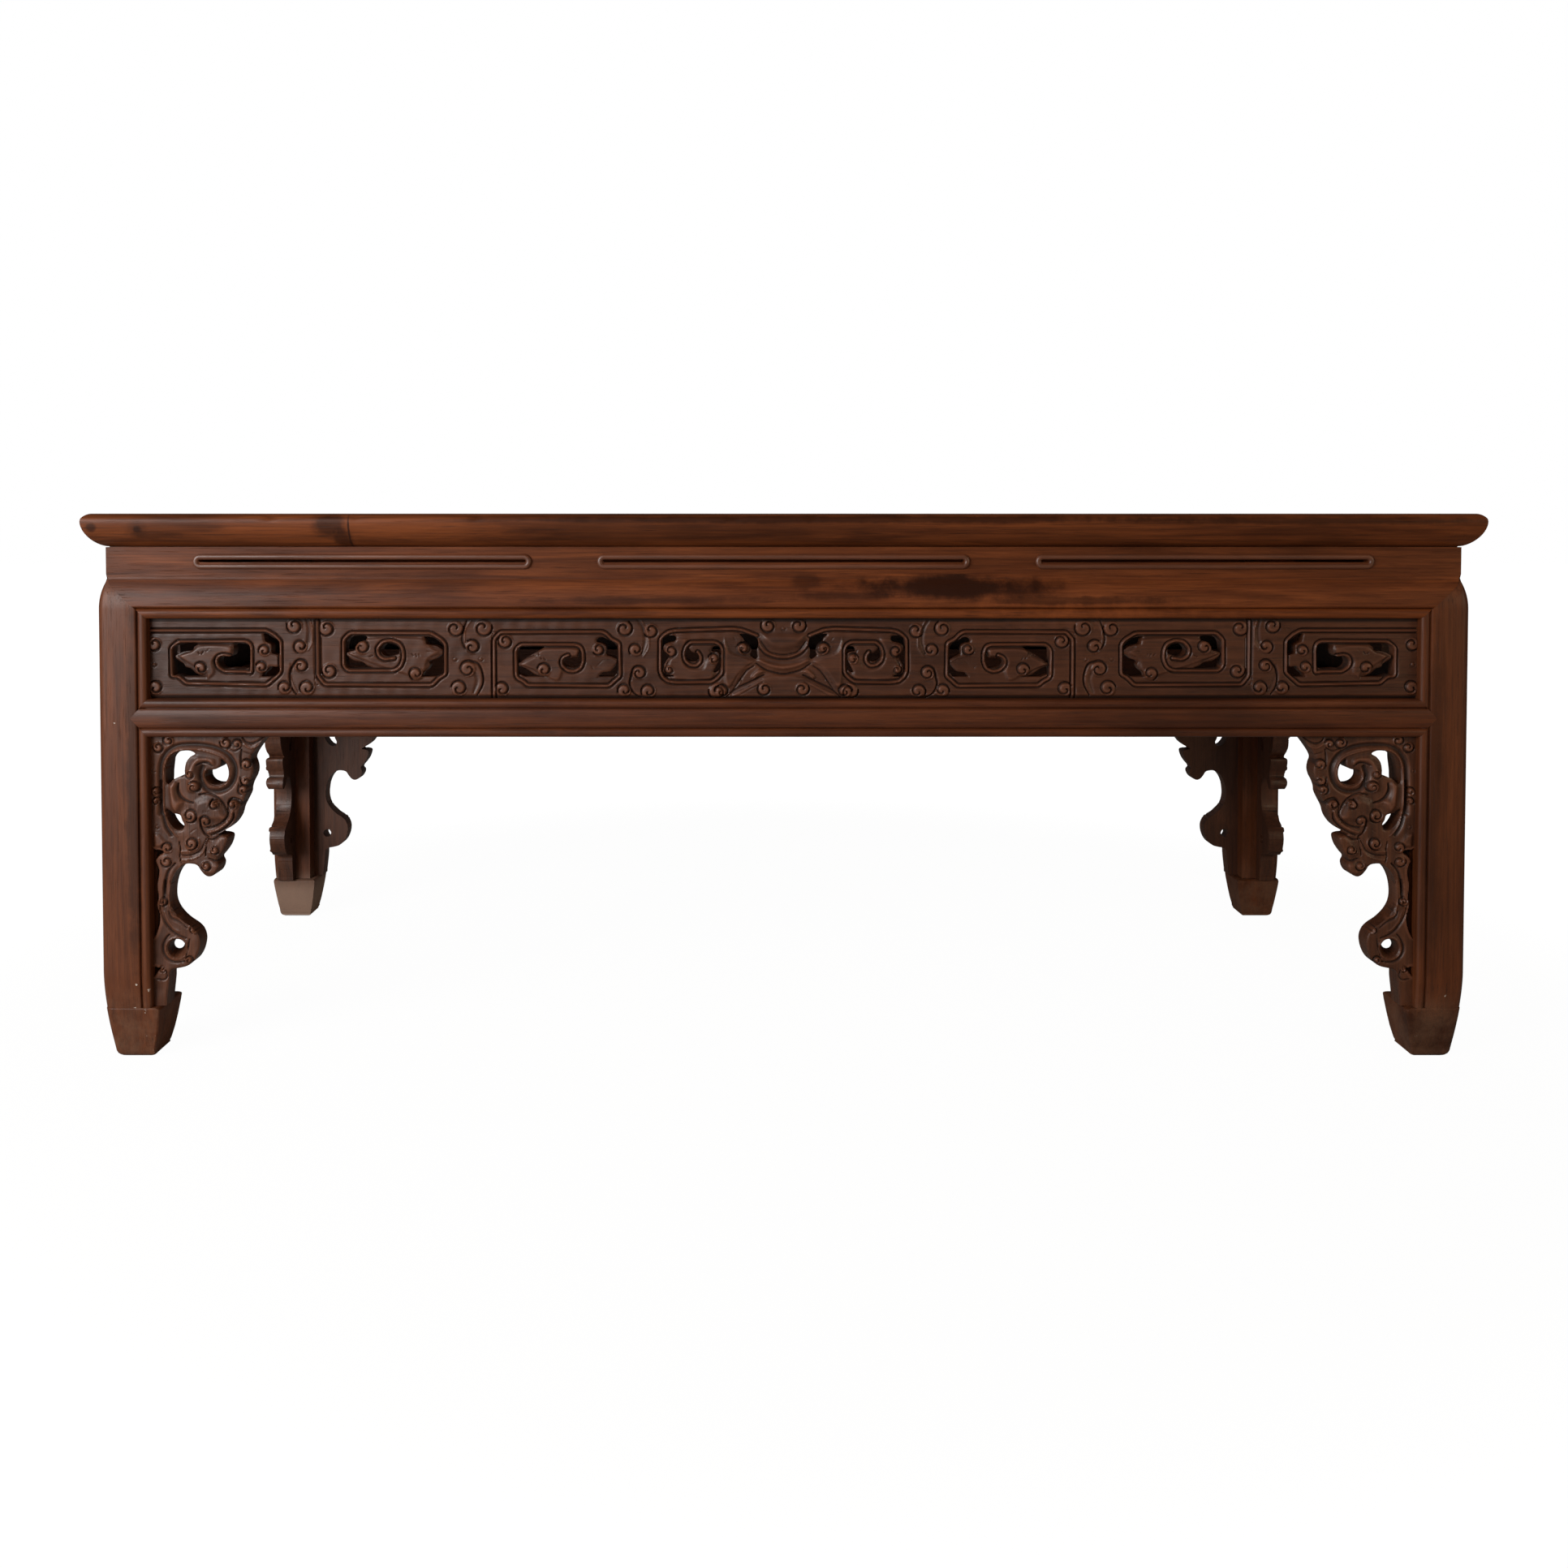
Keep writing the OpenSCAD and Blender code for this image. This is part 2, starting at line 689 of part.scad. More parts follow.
// right-hand outline of the spandrel, from the rail down to the hoof:
// distance from the leg, distance below the rail
spandrel_tip = [[102, 0], [98, 4], [93.5, 10], [89.5, 16], [87.6, 21]];
spandrel_bulge = [
  [87.6, 21], [89, 25.5], [89.8, 31], [88.6, 36.5], [85.8, 42], [84, 47], [83.4, 52], [80.6, 58],
  [77, 65], [74.8, 72.5], [70, 79.6], [64, 84.4], [58, 88]
];
spandrel_lobe = [
  [58, 88], [63.4, 89], [66.8, 91.2], [65, 98.6], [61, 105], [57, 110.2], [58.6, 114.8], [57.8, 119.4],
  [55, 123.6], [50.4, 125.6], [46.4, 124.4], [42.8, 120.6], [39.6, 115.8], [35, 114.2], [29, 114.4],
  [23, 118], [18.4, 124.4], [15.4, 133.4], [14.4, 144], [16, 152.4], [20.6, 160],
  [27.2, 166.4], [34.2, 171.2], [38.6, 176], [40.9, 182.6], [40.4, 189.6], [38.2, 196.4],
  [34.6, 202], [29.6, 205.6], [23, 207.4], [17, 208.6], [13.4, 212]
];
spandrel_foot = [[13.4, 212], [13, 218], [12.4, 224], [11.6, 231], [11, 236], [10.6, 241.3]];
spandrel_hole_a = [
  [12.2, 40.9], [11.8, 33.5], [12.4, 26.1], [15, 19.5], [19.8, 15.4], [25.8, 13.7], [33, 13.3],
  [38.2, 15.9], [33.8, 18.5], [30, 23.3], [28.6, 29.7], [28.4, 35.1], [24, 36.3], [19, 38.7], [14.6, 42.7]
];
spandrel_hole_b = [
  [60.6, 20.9], [65, 24.9], [67, 30.7], [66.8, 36.5], [64.6, 40.9], [60.2, 43.3], [55, 43.5],
  [50.4, 41.9], [47.4, 38.5], [46.6, 34.3], [47.8, 31.5], [50.6, 30.1], [53.2, 30.3], [56.8, 29.5],
  [59.6, 27.1]
];
spandrel_hole_c = [
  [12.6, 65.1], [16, 66.5], [19, 68.9], [24.8, 70.7], [26.6, 75.5], [28.4, 79.1],
  [27.4, 83.3], [24.6, 84.5], [20.6, 83.3], [16.6, 79.1], [13.6, 73.5], [12.4, 68.9]
];
ring_at = [[18.8, 188]];

// share of its drawn width that the spandrel has at a depth below the rail
function share_at(down, share) =
  share + (1 - share) * max(0, min(1, (down - narrow_from) / (narrow_to - narrow_from)));

function on_spandrel(p, width) = [
  for (q = p)
    [
      leg_w + q[0] * share_at(q[1], width / spandrel_w) * spandrel_w / drawn_spandrel_w,
      z_knee - q[1] * spandrel_h / drawn_spandrel_h
    ]
];

module spandrel_shape(width) {
  difference() {
    polygon(concat(
      [[leg_w, z_knee]],
      on_spandrel(open_curve(spandrel_tip, 2), width),
      on_spandrel(open_curve(spandrel_bulge, 2), width),
      on_spandrel(open_curve(spandrel_lobe, 2), width),
      on_spandrel(open_curve(spandrel_foot, 2), width),
      [[leg_w, hoof_h]]
    ));
    polygon(on_spandrel(closed_curve(spandrel_hole_a, 2), width));
    polygon(on_spandrel(closed_curve(spandrel_hole_b, 2), width));
    polygon(on_spandrel(closed_curve(spandrel_hole_c, 2), width));
    translate(on_spandrel(ring_at, width)[0])
      circle(r = ring_r);
  }
}

module spandrel(width) {
  union() {
    slab(carve_back, carve_back + spandrel_t)
      spandrel_shape(width);
    box(leg_w - tongue_d, leg_w + over, tongue_in, tongue_in + tongue_t, hoof_h, z_knee);
    box(leg_w, leg_w + width - tongue_end, tongue_in, tongue_in + tongue_t,
      z_knee - over, z_knee + tongue_d);
  }
}

module long_slots() {
  waist(half_w, half_d, [-slot_step, 0, slot_step], [slot_end, slot_mid, slot_end]);
}

module short_slots() {
  waist(half_d, half_w, [0], [slot_short]);
}

module top_rail_front() {
  color([0.36, 0.19, 0.13])
    top_rail(half_w, half_d, true);
}

module top_rail_back() {
  color([0.36, 0.19, 0.13])
    to_side(2)
      top_rail(half_w, half_d, true);
}

module top_rail_left() {
  color([0.38, 0.2, 0.14])
    to_side(3)
      top_rail(half_d, half_w, false);
}

module top_rail_right() {
  color([0.38, 0.2, 0.14])
    to_side(1)
      top_rail(half_d, half_w, false);
}

module top_board_front() {
  color([0.4, 0.22, 0.15])
    top_board(true);
}

module top_board_back() {
  color([0.4, 0.22, 0.15])
    mirror([0, 1, 0])
      top_board(false);
}

module batten_left() {
  color([0.33, 0.18, 0.12])
    batten(-batten_spacing);
}

module batten_middle() {
  color([0.33, 0.18, 0.12])
    batten(0);
}

module batten_right() {
  color([0.33, 0.18, 0.12])
    batten(batten_spacing);
}

module corner_dowels() {
  color([0.3, 0.16, 0.1])
    for (right = [0, 1])
      for (back = [0, 1])
        to_corner(right, back)
          translate([dowel_side, dowel_front, z_under])
            cylinder(h = dowel_l, d = dowel_d);
}

module waist_front() {
  color([0.34, 0.18, 0.12])
    long_slots();
}

module waist_back() {
  color([0.34, 0.18, 0.12])
    to_side(2)
      long_slots();
}

module waist_left() {
  color([0.34, 0.18, 0.12])
    to_side(3)
      short_slots();
}

module waist_right() {
  color([0.34, 0.18, 0.12])
    to_side(1)
      short_slots();
}

module apron_front() {
  color([0.38, 0.2, 0.13])
    apron(half_w, half_d);
}

module apron_back() {
  color([0.38, 0.2, 0.13])
    to_side(2)
      apron(half_w, half_d);
}

module apron_left() {
  color([0.38, 0.2, 0.13])
    to_side(3)
      apron(half_d, half_w);
}

module apron_right() {
  color([0.38, 0.2, 0.13])
    to_side(1)
      apron(half_d, half_w);
}

module leg_front_left() {
  color([0.37, 0.2, 0.14])
    to_corner(0, 0)
      leg();
}

module leg_front_right() {
  color([0.37, 0.2, 0.14])
    to_corner(1, 0)
      leg();
}

module leg_back_left() {
  color([0.37, 0.2, 0.14])
    to_corner(0, 1)
      leg();
}

module leg_back_right() {
  color([0.37, 0.2, 0.14])
    to_corner(1, 1)
      leg();
}

module rail_front() {
  color([0.38, 0.2, 0.13])
    rail(half_w, half_d, spandrel_w);
}

module rail_back() {
  color([0.38, 0.2, 0.13])
    to_side(2)
      rail(half_w, half_d, spandrel_w);
}

module rail_left() {
  color([0.38, 0.2, 0.13])
    to_side(3)
      rail(half_d, half_w, spandrel_side_w);
}

module rail_right() {
  color([0.38, 0.2, 0.13])
    to_side(1)
      rail(half_d, half_w, spandrel_side_w);
}

module frieze_front() {
  color([0.3, 0.17, 0.11])
    frieze(half_w, half_d, [frame_one, frame_two, frame_three, frame_four], drawn_long);
}

module frieze_back() {
  color([0.3, 0.17, 0.11])
    to_side(2)
      frieze(half_w, half_d, [frame_one, frame_two, frame_three, frame_four], drawn_long);
}

module frieze_left() {
  color([0.3, 0.17, 0.11])
    to_side(3)
      frieze(half_d, half_w, [frame_one], drawn_short);
}

module frieze_right() {
  color([0.3, 0.17, 0.11])
    to_side(1)
      frieze(half_d, half_w, [frame_one], drawn_short);
}

module spandrel_front_left() {
  color([0.31, 0.17, 0.12])
    to_corner(0, 0)
      spandrel(spandrel_w);
}

module spandrel_front_right() {
  color([0.31, 0.17, 0.12])
    to_corner(1, 0)
      spandrel(spandrel_w);
}

module spandrel_back_left() {
  color([0.31, 0.17, 0.12])
    to_corner(0, 1)
      spandrel(spandrel_w);
}

module spandrel_back_right() {
  color([0.31, 0.17, 0.12])
    to_corner(1, 1)
      spandrel(spandrel_w);
}

module spandrel_left_front() {
  color([0.31, 0.17, 0.12])
    to_corner(0, 0)
      mirror([1, -1, 0])
        spandrel(spandrel_side_w);
}

module spandrel_left_back() {
  color([0.31, 0.17, 0.12])
    to_corner(0, 1)
      mirror([1, -1, 0])
        spandrel(spandrel_side_w);
}

module spandrel_right_front() {
  color([0.31, 0.17, 0.12])
    to_corner(1, 0)
      mirror([1, -1, 0])
        spandrel(spandrel_side_w);
}

module spandrel_right_back() {
  color([0.31, 0.17, 0.12])
    to_corner(1, 1)
      mirror([1, -1, 0])
        spandrel(spandrel_side_w);
}

top_rail_front();
top_rail_back();
top_rail_left();
top_rail_right();
top_board_front();
top_board_back();
batten_left();
batten_middle();
batten_right();
corner_dowels();
waist_front();
waist_back();
waist_left();
waist_right();
apron_front();
apron_back();
apron_left();
apron_right();
leg_front_left();
leg_front_right();
leg_back_left();
leg_back_right();
rail_front();
rail_back();
rail_left();
rail_right();
frieze_front();
frieze_back();
frieze_left();
frieze_right();
spandrel_front_left();
spandrel_front_right();
spandrel_back_left();
spandrel_back_right();
spandrel_left_front();
spandrel_left_back();
spandrel_right_front();
spandrel_right_back();
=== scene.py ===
import math

import bmesh
import bpy
import numpy as np
from mathutils import Matrix, Vector, geometry


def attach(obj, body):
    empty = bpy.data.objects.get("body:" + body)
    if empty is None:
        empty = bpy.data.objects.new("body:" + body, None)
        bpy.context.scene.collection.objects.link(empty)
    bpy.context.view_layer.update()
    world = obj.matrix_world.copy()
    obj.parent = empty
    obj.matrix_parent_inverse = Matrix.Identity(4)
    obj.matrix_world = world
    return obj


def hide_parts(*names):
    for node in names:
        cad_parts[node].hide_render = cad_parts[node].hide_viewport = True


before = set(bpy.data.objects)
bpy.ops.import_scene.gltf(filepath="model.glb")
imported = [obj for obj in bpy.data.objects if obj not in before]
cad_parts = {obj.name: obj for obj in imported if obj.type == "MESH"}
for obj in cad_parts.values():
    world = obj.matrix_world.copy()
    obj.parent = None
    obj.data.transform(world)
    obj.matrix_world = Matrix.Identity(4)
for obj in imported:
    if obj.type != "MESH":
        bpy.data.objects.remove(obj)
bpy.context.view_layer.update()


# Studio
# A plain white floor and backdrop, a large soft lamp from the left like a window,
# weaker warm ones in front, at the right and behind, and the camera at knee height.

class Value:
    """A shader value that can be used in sums, as plain numbers are."""

    def __init__(self, socket):
        self.socket = socket

    def sum(self, operation, *parts):
        tree = self.socket.id_data
        node = tree.nodes.new("ShaderNodeMath")
        node.operation = operation
        for place, part in zip(node.inputs, parts):
            if isinstance(part, Value):
                tree.links.new(part.socket, place)
            else:
                place.default_value = part
        return Value(node.outputs[0])

    def __add__(self, other):
        return self.sum("ADD", self, other)

    def __radd__(self, other):
        return self.sum("ADD", other, self)

    def __sub__(self, other):
        return self.sum("SUBTRACT", self, other)

    def __rsub__(self, other):
        return self.sum("SUBTRACT", other, self)

    def __mul__(self, other):
        return self.sum("MULTIPLY", self, other)

    def __rmul__(self, other):
        return self.sum("MULTIPLY", other, self)

    def most(self, other):
        return self.sum("MAXIMUM", self, other)

    def step(self, low, high):
        """0 at low, 1 at high, soft between."""
        tree = self.socket.id_data
        node = tree.nodes.new("ShaderNodeMapRange")
        node.interpolation_type = "SMOOTHSTEP"
        tree.links.new(self.socket, node.inputs[0])
        node.inputs[1].default_value = low
        node.inputs[2].default_value = high
        return Value(node.outputs[0])


class Finish:
    """A material or the world, built from nodes."""

    def __init__(self, name, holder=None):
        self.holder = holder or bpy.data.materials.new(name)
        self.holder.use_nodes = True
        self.tree = self.holder.node_tree
        self.tree.nodes.clear()

    def node(self, kind, settings=None, sockets=None, out=0):
        node = self.tree.nodes.new("ShaderNode" + kind)
        for name, value in (settings or {}).items():
            setattr(node, name, value)
        for name, value in (sockets or {}).items():
            if isinstance(value, Value):
                self.tree.links.new(value.socket, node.inputs[name])
            elif isinstance(value, tuple) and node.inputs[name].type == "RGBA":
                node.inputs[name].default_value = (*value, 1)
            else:
                node.inputs[name].default_value = value
        return Value(node.outputs[out])

    def mix(self, share, under, over):
        return self.node("Mix", {"data_type": "RGBA"}, {0: share, 6: under, 7: over}, 2)

    def vector(self, operation, first, second=(0.0, 0.0, 0.0), out=0):
        return self.node("VectorMath", {"operation": operation}, {0: first, 1: second}, out)

    def close(self, shader, kind="OutputMaterial"):
        end = self.tree.nodes.new("ShaderNode" + kind)
        self.tree.links.new(shader.socket, end.inputs["Surface"])
        return self.holder


def mesh_piece(name, mesh, finish):
    piece = bpy.data.objects.new(name, mesh)
    bpy.context.scene.collection.objects.link(piece)
    mesh.materials.clear()
    mesh.materials.append(finish)
    return piece


floor_mesh = bpy.data.meshes.new("floor")
floor_mesh.from_pydata([(-9, -6, 0), (9, -6, 0), (9, 12, 0), (-9, 12, 0)], [], [(0, 1, 2, 3)])
paper = Finish("white floor")
seen = paper.node("LightPath", out="Is Camera Ray")
far_off = paper.vector("LENGTH", paper.node("TexCoord", out="Object"), out=1)
matt = paper.node("BsdfDiffuse", None, {"Color": (0.42, 0.4, 0.38)})
white = paper.node("Emission", None, {"Color": (1.0, 1.0, 1.0), "Strength": 1.05})
whiteness = 0.93 + 0.07 * far_off.step(0.7, 1.3)  # the rest shows the shadow of the table
paper_white = paper.close(paper.node("MixShader", None, {0: seen * whiteness, 1: matt, 2: white}))
mesh_piece("floor", floor_mesh, paper_white)

room = bpy.data.worlds.new("room")
bpy.context.scene.world = room
air = Finish("room", room)
bright = air.node("LightPath", out="Is Camera Ray").most(0.06)
air.close(air.node("Background", None, {"Color": (1.0, 1.0, 1.0), "Strength": bright}), "OutputWorld")


def soft_lamp(name, place, aim, wide, watts, colour, mirrored=True):
    light = bpy.data.lights.new(name, "AREA")
    light.shape = "RECTANGLE"
    light.size, light.size_y = wide
    light.energy = watts
    light.color = colour
    lamp = bpy.data.objects.new(name, light)
    bpy.context.scene.collection.objects.link(lamp)
    lamp.location = place
    lamp.visible_glossy = mirrored
    lamp.rotation_euler = (Vector(aim) - Vector(place)).to_track_quat("-Z", "Y").to_euler()


soft_lamp("window", (-1.5, -1.5, 0.82), (-0.4, 0, 0.28), (1.1, 0.9), 37, (1.0, 0.99, 0.98))
soft_lamp("front", (-0.2, -2.4, 1.15), (0, 0, 0.35), (2.4, 0.7), 13, (1.0, 0.86, 0.7), False)
soft_lamp("warm side", (1.9, -1.4, 0.8), (0.3, 0, 0.25), (0.9, 0.9), 8, (1.0, 0.78, 0.52))
soft_lamp("back", (0.4, 2.6, 1.3), (0, 0, 0.3), (2.6, 0.8), 12, (1.0, 0.92, 0.84), False)

eye = bpy.data.cameras.new("eye")
eye.sensor_width = 36
eye.lens = 32.65
eye.shift_x = 0.0181
eye.shift_y = -0.1458
looking_down = math.radians(1.68)
camera = bpy.data.objects.new("camera", eye)
bpy.context.scene.collection.objects.link(camera)
camera.location = (-0.0246, -1.493, 0.484)
camera.rotation_euler = (math.radians(90) - looking_down, 0, 0)
bpy.context.scene.camera = camera
bpy.context.scene.view_settings.view_transform = "Standard"


# Top frame
# Four frame members, mitred at the corners, with a rounded upper edge and a
# moulding that runs in underneath. Hardwood, planed, stained and waxed.

half_w, half_d, height = 604, 248, 484  # mm, as all sizes below; the first two to the legs
z_under, z_waist, z_apron, z_rail, z_knee, z_hoof = 454.5, 431, 391.8, 320.5, 287.3, 46
leg_w, overhang, top_rail_w = 44, 8.5, 70
sides = (("front", 0), ("back", 2), ("left", 3), ("right", 1))  # with their quarter turns
sharp_edge = math.radians(32)


def hardwood(name, along, light, dark, sheen=0.2, worn=0.4, carved=False, marks=(), specks=(),
             gloss=0.16):
    """Stained hardwood with its grain along one axis (0, 1 or 2). Marks are dark
    knots, stains and painted shade on the front, specks are splashes of pale paint:
    x, z, width, height and strength. Sheen is the wax and gloss the shine of the stain."""
    wood = Finish(name)
    place = wood.node("TexCoord", out="Object")

    def drawn_out(share):
        """The place with less of it along the grain, which makes a noise long there."""
        scale = [1.0, 1.0, 1.0]
        scale[along] = share
        return wood.vector("MULTIPLY", place, tuple(scale))

    def noise(where, scale, detail, roughness=0.5, distortion=0.0):
        return wood.node("TexNoise", None, {
            "Vector": where, "Scale": scale, "Detail": detail, "Roughness": roughness,
            "Distortion": distortion})

    fibre = drawn_out(0.025)
    figure = noise(drawn_out(0.07), 85.0, 6.0, 0.65, 0.8)
    streak = noise(fibre, 420.0, 3.0, 0.6)
    pore = noise(fibre, 1150.0, 2.0).step(0.6, 0.72)
    cloud = noise(drawn_out(0.3), 9.0, 4.0, 0.6)
    rub = noise(place, 31.0, 5.0, 0.7)
    grit = noise(place, 700.0, 2.0)

    black = tuple(0.3 * c for c in dark)
    worn_through = (light[0] * 1.5, light[1] * 1.45, light[2] * 1.4)
    colour = wood.mix(figure.step(0.2, 0.8), dark, light)
    colour = wood.mix(streak.step(0.42, 0.68) * 0.4, colour, tuple(0.45 * c for c in dark))
    colour = wood.mix(pore * 0.5, colour, black)
    colour = wood.mix(cloud.step(0.5, 0.69) * 0.62, colour, black)
    colour = wood.mix(cloud.step(0.48, 0.3) * rub.step(0.42, 0.7) * worn, colour, worn_through)
    rough = 0.37 + rub * 0.2 + pore * 0.12

    front_y, pale_paint = -0.25, (0.55, 0.5, 0.44)
    for spots, paint, deep, ragged in ((marks, black, 25.0, (rub - 0.5) * 1.6),
                                       (specks, pale_paint, 150.0, (grit - 0.44) * 4.5)):
        for x, z, wide, tall, share in spots:
            off = wood.vector("SUBTRACT", place, (x, front_y, z))
            off = wood.vector("MULTIPLY", off, (1 / wide, deep, 1 / tall))
            off = wood.vector("LENGTH", off, out=1) + ragged
            colour = wood.mix(off.step(1.1, 0.45) * share, colour, paint)

    if along == 2 and not carved:  # the legs, with worn feet and a paler patch low on the one at the back left
        low = wood.node("SeparateXYZ", None, {0: place}, 2)
        foot = low.step(0.075, 0.03)
        colour = wood.mix(foot * rub.step(0.35, 0.65) * 0.4, colour, (0.14, 0.075, 0.045))
        from_pale_foot = wood.vector("DISTANCE", place, (-0.6, 0.24, 0.0), 1)
        pale_patch = from_pale_foot.step(0.13, 0.05) * low.step(0.06, 0.03) * 0.65
        colour = wood.mix(pale_patch, colour, (0.3, 0.2, 0.15))
        rough = rough + foot * 0.15
    if carved:  # dark wax and painted shade in the hollows, ridges lighter as rubbed wear and painted highlight
        hollow = wood.node("Attribute", {"attribute_name": "hollow"}, out="Fac")
        rubbed_and_highlit = (light[0] * 1.8, light[1] * 2.0, light[2] * 2.5)
        # the hollow attribute also carries painted shadow along the frieze edges and painted shade on the
        # walls of the openings
        colour = wood.mix(hollow.step(0.08, 1.0) * 0.75, colour, tuple(0.16 * c for c in dark))
        colour = wood.mix((0.0 - hollow).step(0.1, 0.9) * 0.5, colour, rubbed_and_highlit)
        rough = rough + hollow.step(0.05, 0.6) * 0.25
    relief = streak * 0.5 + pore * -0.9 + rub * 0.5
    bump = wood.node("Bump", None, {"Strength": 0.35, "Distance": 0.0006, "Height": relief})
    return wood.close(wood.node("BsdfPrincipled", None, {
        "Base Color": colour, "Roughness": rough, "Normal": bump, "Specular IOR Level": gloss,
        "Coat Weight": sheen * 0.3, "Coat Roughness": 0.22}))


plain_light, plain_dark = (0.19, 0.051, 0.0135), (0.06, 0.0145, 0.0038)
top_woods = (
    hardwood("top long members", 0, plain_light, plain_dark, marks=(
        (-0.603, 0.472, 0.006, 0.005, 0.8), (-0.5635, 0.4705, 0.005, 0.004, 0.9),
        (-0.5645, 0.4705, 0.012, 0.009, 0.4), (-0.548, 0.466, 0.03, 0.004, 0.5),
        (-0.395, 0.474, 0.017, 0.012, 0.75), (-0.386, 0.463, 0.01, 0.011, 0.75),
        (-0.379, 0.468, 0.0012, 0.022, 0.9), (0.07, 0.479, 0.35, 0.004, 0.7),
        (0.47, 0.478, 0.2, 0.004, 0.6))),
    hardwood("top cross members", 1, plain_light, plain_dark))


class NodeTree:
    """A Geometry Nodes tree with named inputs."""

    def __init__(self, name, inputs):
        self.tree = bpy.data.node_groups.new(name, "GeometryNodeTree")
        put = self.tree.interface.new_socket
        for title, kind in inputs:
            put(title, in_out="INPUT", socket_type="NodeSocket" + kind)
        put("Geometry", in_out="OUTPUT", socket_type="NodeSocketGeometry")
        self.given = self.add("NodeGroupInput")

    def add(self, kind, settings=None, sockets=None):
        node = self.tree.nodes.new(kind)
        for name, value in (settings or {}).items():
            setattr(node, name, value)
        for name, value in (sockets or {}).items():
            if isinstance(value, bpy.types.NodeSocket):
                self.tree.links.new(value, node.inputs[name])
            else:
                node.inputs[name].default_value = value
        return node.outputs

    def maths(self, operation, *parts):
        return self.add("ShaderNodeMath", {"operation": operation}, dict(enumerate(parts)))[0]

    def place(self):
        return self.add("GeometryNodeInputPosition")["Position"]

    def parts_of(self, vector):
        return self.add("ShaderNodeSeparateXYZ", None, {0: vector})

    def close(self, shape):
        real = self.add("GeometryNodeRealizeInstances", None, {"Geometry": shape})["Geometry"]
        coated = self.add("GeometryNodeSetMaterial", None,
                          {"Geometry": real, "Material": self.given["Finish"]})["Geometry"]
        self.add("NodeGroupOutput", None, {"Geometry": coated})
        return self.tree


def moulding_nodes():
    """A section carried along X between two shaped ends. X of each section
    point is how far the ends are cut back at that point."""
    tree = NodeTree("moulding", (
        ("Section", "Object"), ("Points", "Int"), ("Half length", "Float"), ("Stations", "Int"),
        ("Unevenness", "Float"), ("Seed", "Float"), ("Finish", "Material")))
    add, maths, given = tree.add, tree.maths, tree.given
    tube = add("GeometryNodeMeshCylinder", {"fill_type": "NGON"},
               {"Vertices": given["Points"], "Side Segments": given["Stations"],
                "Fill Segments": 1, "Radius": 1.0, "Depth": 2.0})["Mesh"]
    where = tree.place()
    apart = tree.parts_of(where)
    turn = maths("DIVIDE", maths("ARCTAN2", apart["Y"], apart["X"]), 2 * math.pi)
    nearest = maths("ROUND", maths("MULTIPLY", turn, given["Points"]))
    count = maths("FLOORED_MODULO", nearest, given["Points"])
    guide = add("GeometryNodeObjectInfo", None, {"Object": given["Section"]})["Geometry"]
    point = add("GeometryNodeSampleIndex", {"data_type": "FLOAT_VECTOR", "domain": "POINT"},
                {"Geometry": guide, "Value": where, "Index": count})["Value"]
    cut = tree.parts_of(point)
    reach = maths("MULTIPLY", apart["Z"], maths("SUBTRACT", given["Half length"], cut["X"]))
    placed = add("ShaderNodeCombineXYZ", None, {"X": reach, "Y": cut["Y"], "Z": cut["Z"]})[0]
    drawn = add("GeometryNodeSetPosition", None, {"Geometry": tube, "Position": placed})["Geometry"]
    wander = add("ShaderNodeTexNoise", {"noise_dimensions": "4D"},
                 {"Vector": where, "W": given["Seed"], "Scale": 14.0, "Detail": 3.0})["Fac"]
    lift = maths("MULTIPLY", maths("SUBTRACT", wander, 0.5), given["Unevenness"])
    normal = add("GeometryNodeInputNormal")["Normal"]
    off = add("ShaderNodeVectorMath", {"operation": "SCALE"}, {0: normal, "Scale": lift})[0]
    return tree.close(
        add("GeometryNodeSetPosition", None, {"Geometry": drawn, "Offset": off})["Geometry"])


def baked(tree, name, values):
    """Runs a Geometry Nodes tree on an empty mesh and keeps the result as a mesh."""
    host = bpy.data.objects.new(name, bpy.data.meshes.new(name))
    bpy.context.scene.collection.objects.link(host)
    worker = host.modifiers.new("nodes", "NODES")
    worker.node_group = tree
    for item in tree.interface.items_tree:
        if item.item_type == "SOCKET" and item.in_out == "INPUT":
            worker[item.identifier] = values[item.name]
    seen_by = bpy.context.evaluated_depsgraph_get()
    mesh = bpy.data.meshes.new_from_object(host.evaluated_get(seen_by))
    bpy.data.objects.remove(host)
    return mesh


def quarter_turns(turn):
    return Matrix.Rotation(math.radians(90 * turn), 4, "Z")


def outward(mesh):
    """Turns every face outwards and splits the shading at sharp edges."""
    work = bmesh.new()
    work.from_mesh(mesh)
    bmesh.ops.recalc_face_normals(work, faces=work.faces)
    if work.calc_volume(signed=True) < 0:
        bmesh.ops.reverse_faces(work, faces=work.faces)
    work.to_mesh(mesh)
    work.free()
    mesh.shade_smooth()
    mesh.set_sharp_from_angle(angle=sharp_edge)


moulding = moulding_nodes()
waviness = 0.25  # of a planed face, in mm


def member(name, section, half, turn, finish, seed, stations, shape=None):
    """A frame member from its section in mm (cut back, y, z), turned to its side."""
    guide_mesh = bpy.data.meshes.new("guide")
    guide_mesh.from_pydata([tuple(c / 1000 for c in p) for p in section], [], [])
    guide = bpy.data.objects.new("guide", guide_mesh)
    bpy.context.scene.collection.objects.link(guide)
    mesh = baked(moulding, name, {
        "Section": guide, "Points": len(section), "Half length": half / 1000,
        "Stations": stations, "Unevenness": waviness / 1000, "Seed": float(seed), "Finish": finish})
    bpy.data.objects.remove(guide)
    if shape:
        place = np.empty(len(mesh.vertices) * 3)
        mesh.vertices.foreach_get("co", place)
        place = shape(place.reshape(-1, 3) * 1000) / 1000
        mesh.vertices.foreach_set("co", place.ravel())
    mesh.transform(quarter_turns(turn))
    outward(mesh)
    piece = mesh_piece(name + "_wood", mesh, finish)
    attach(piece, "root")
    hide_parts(name)


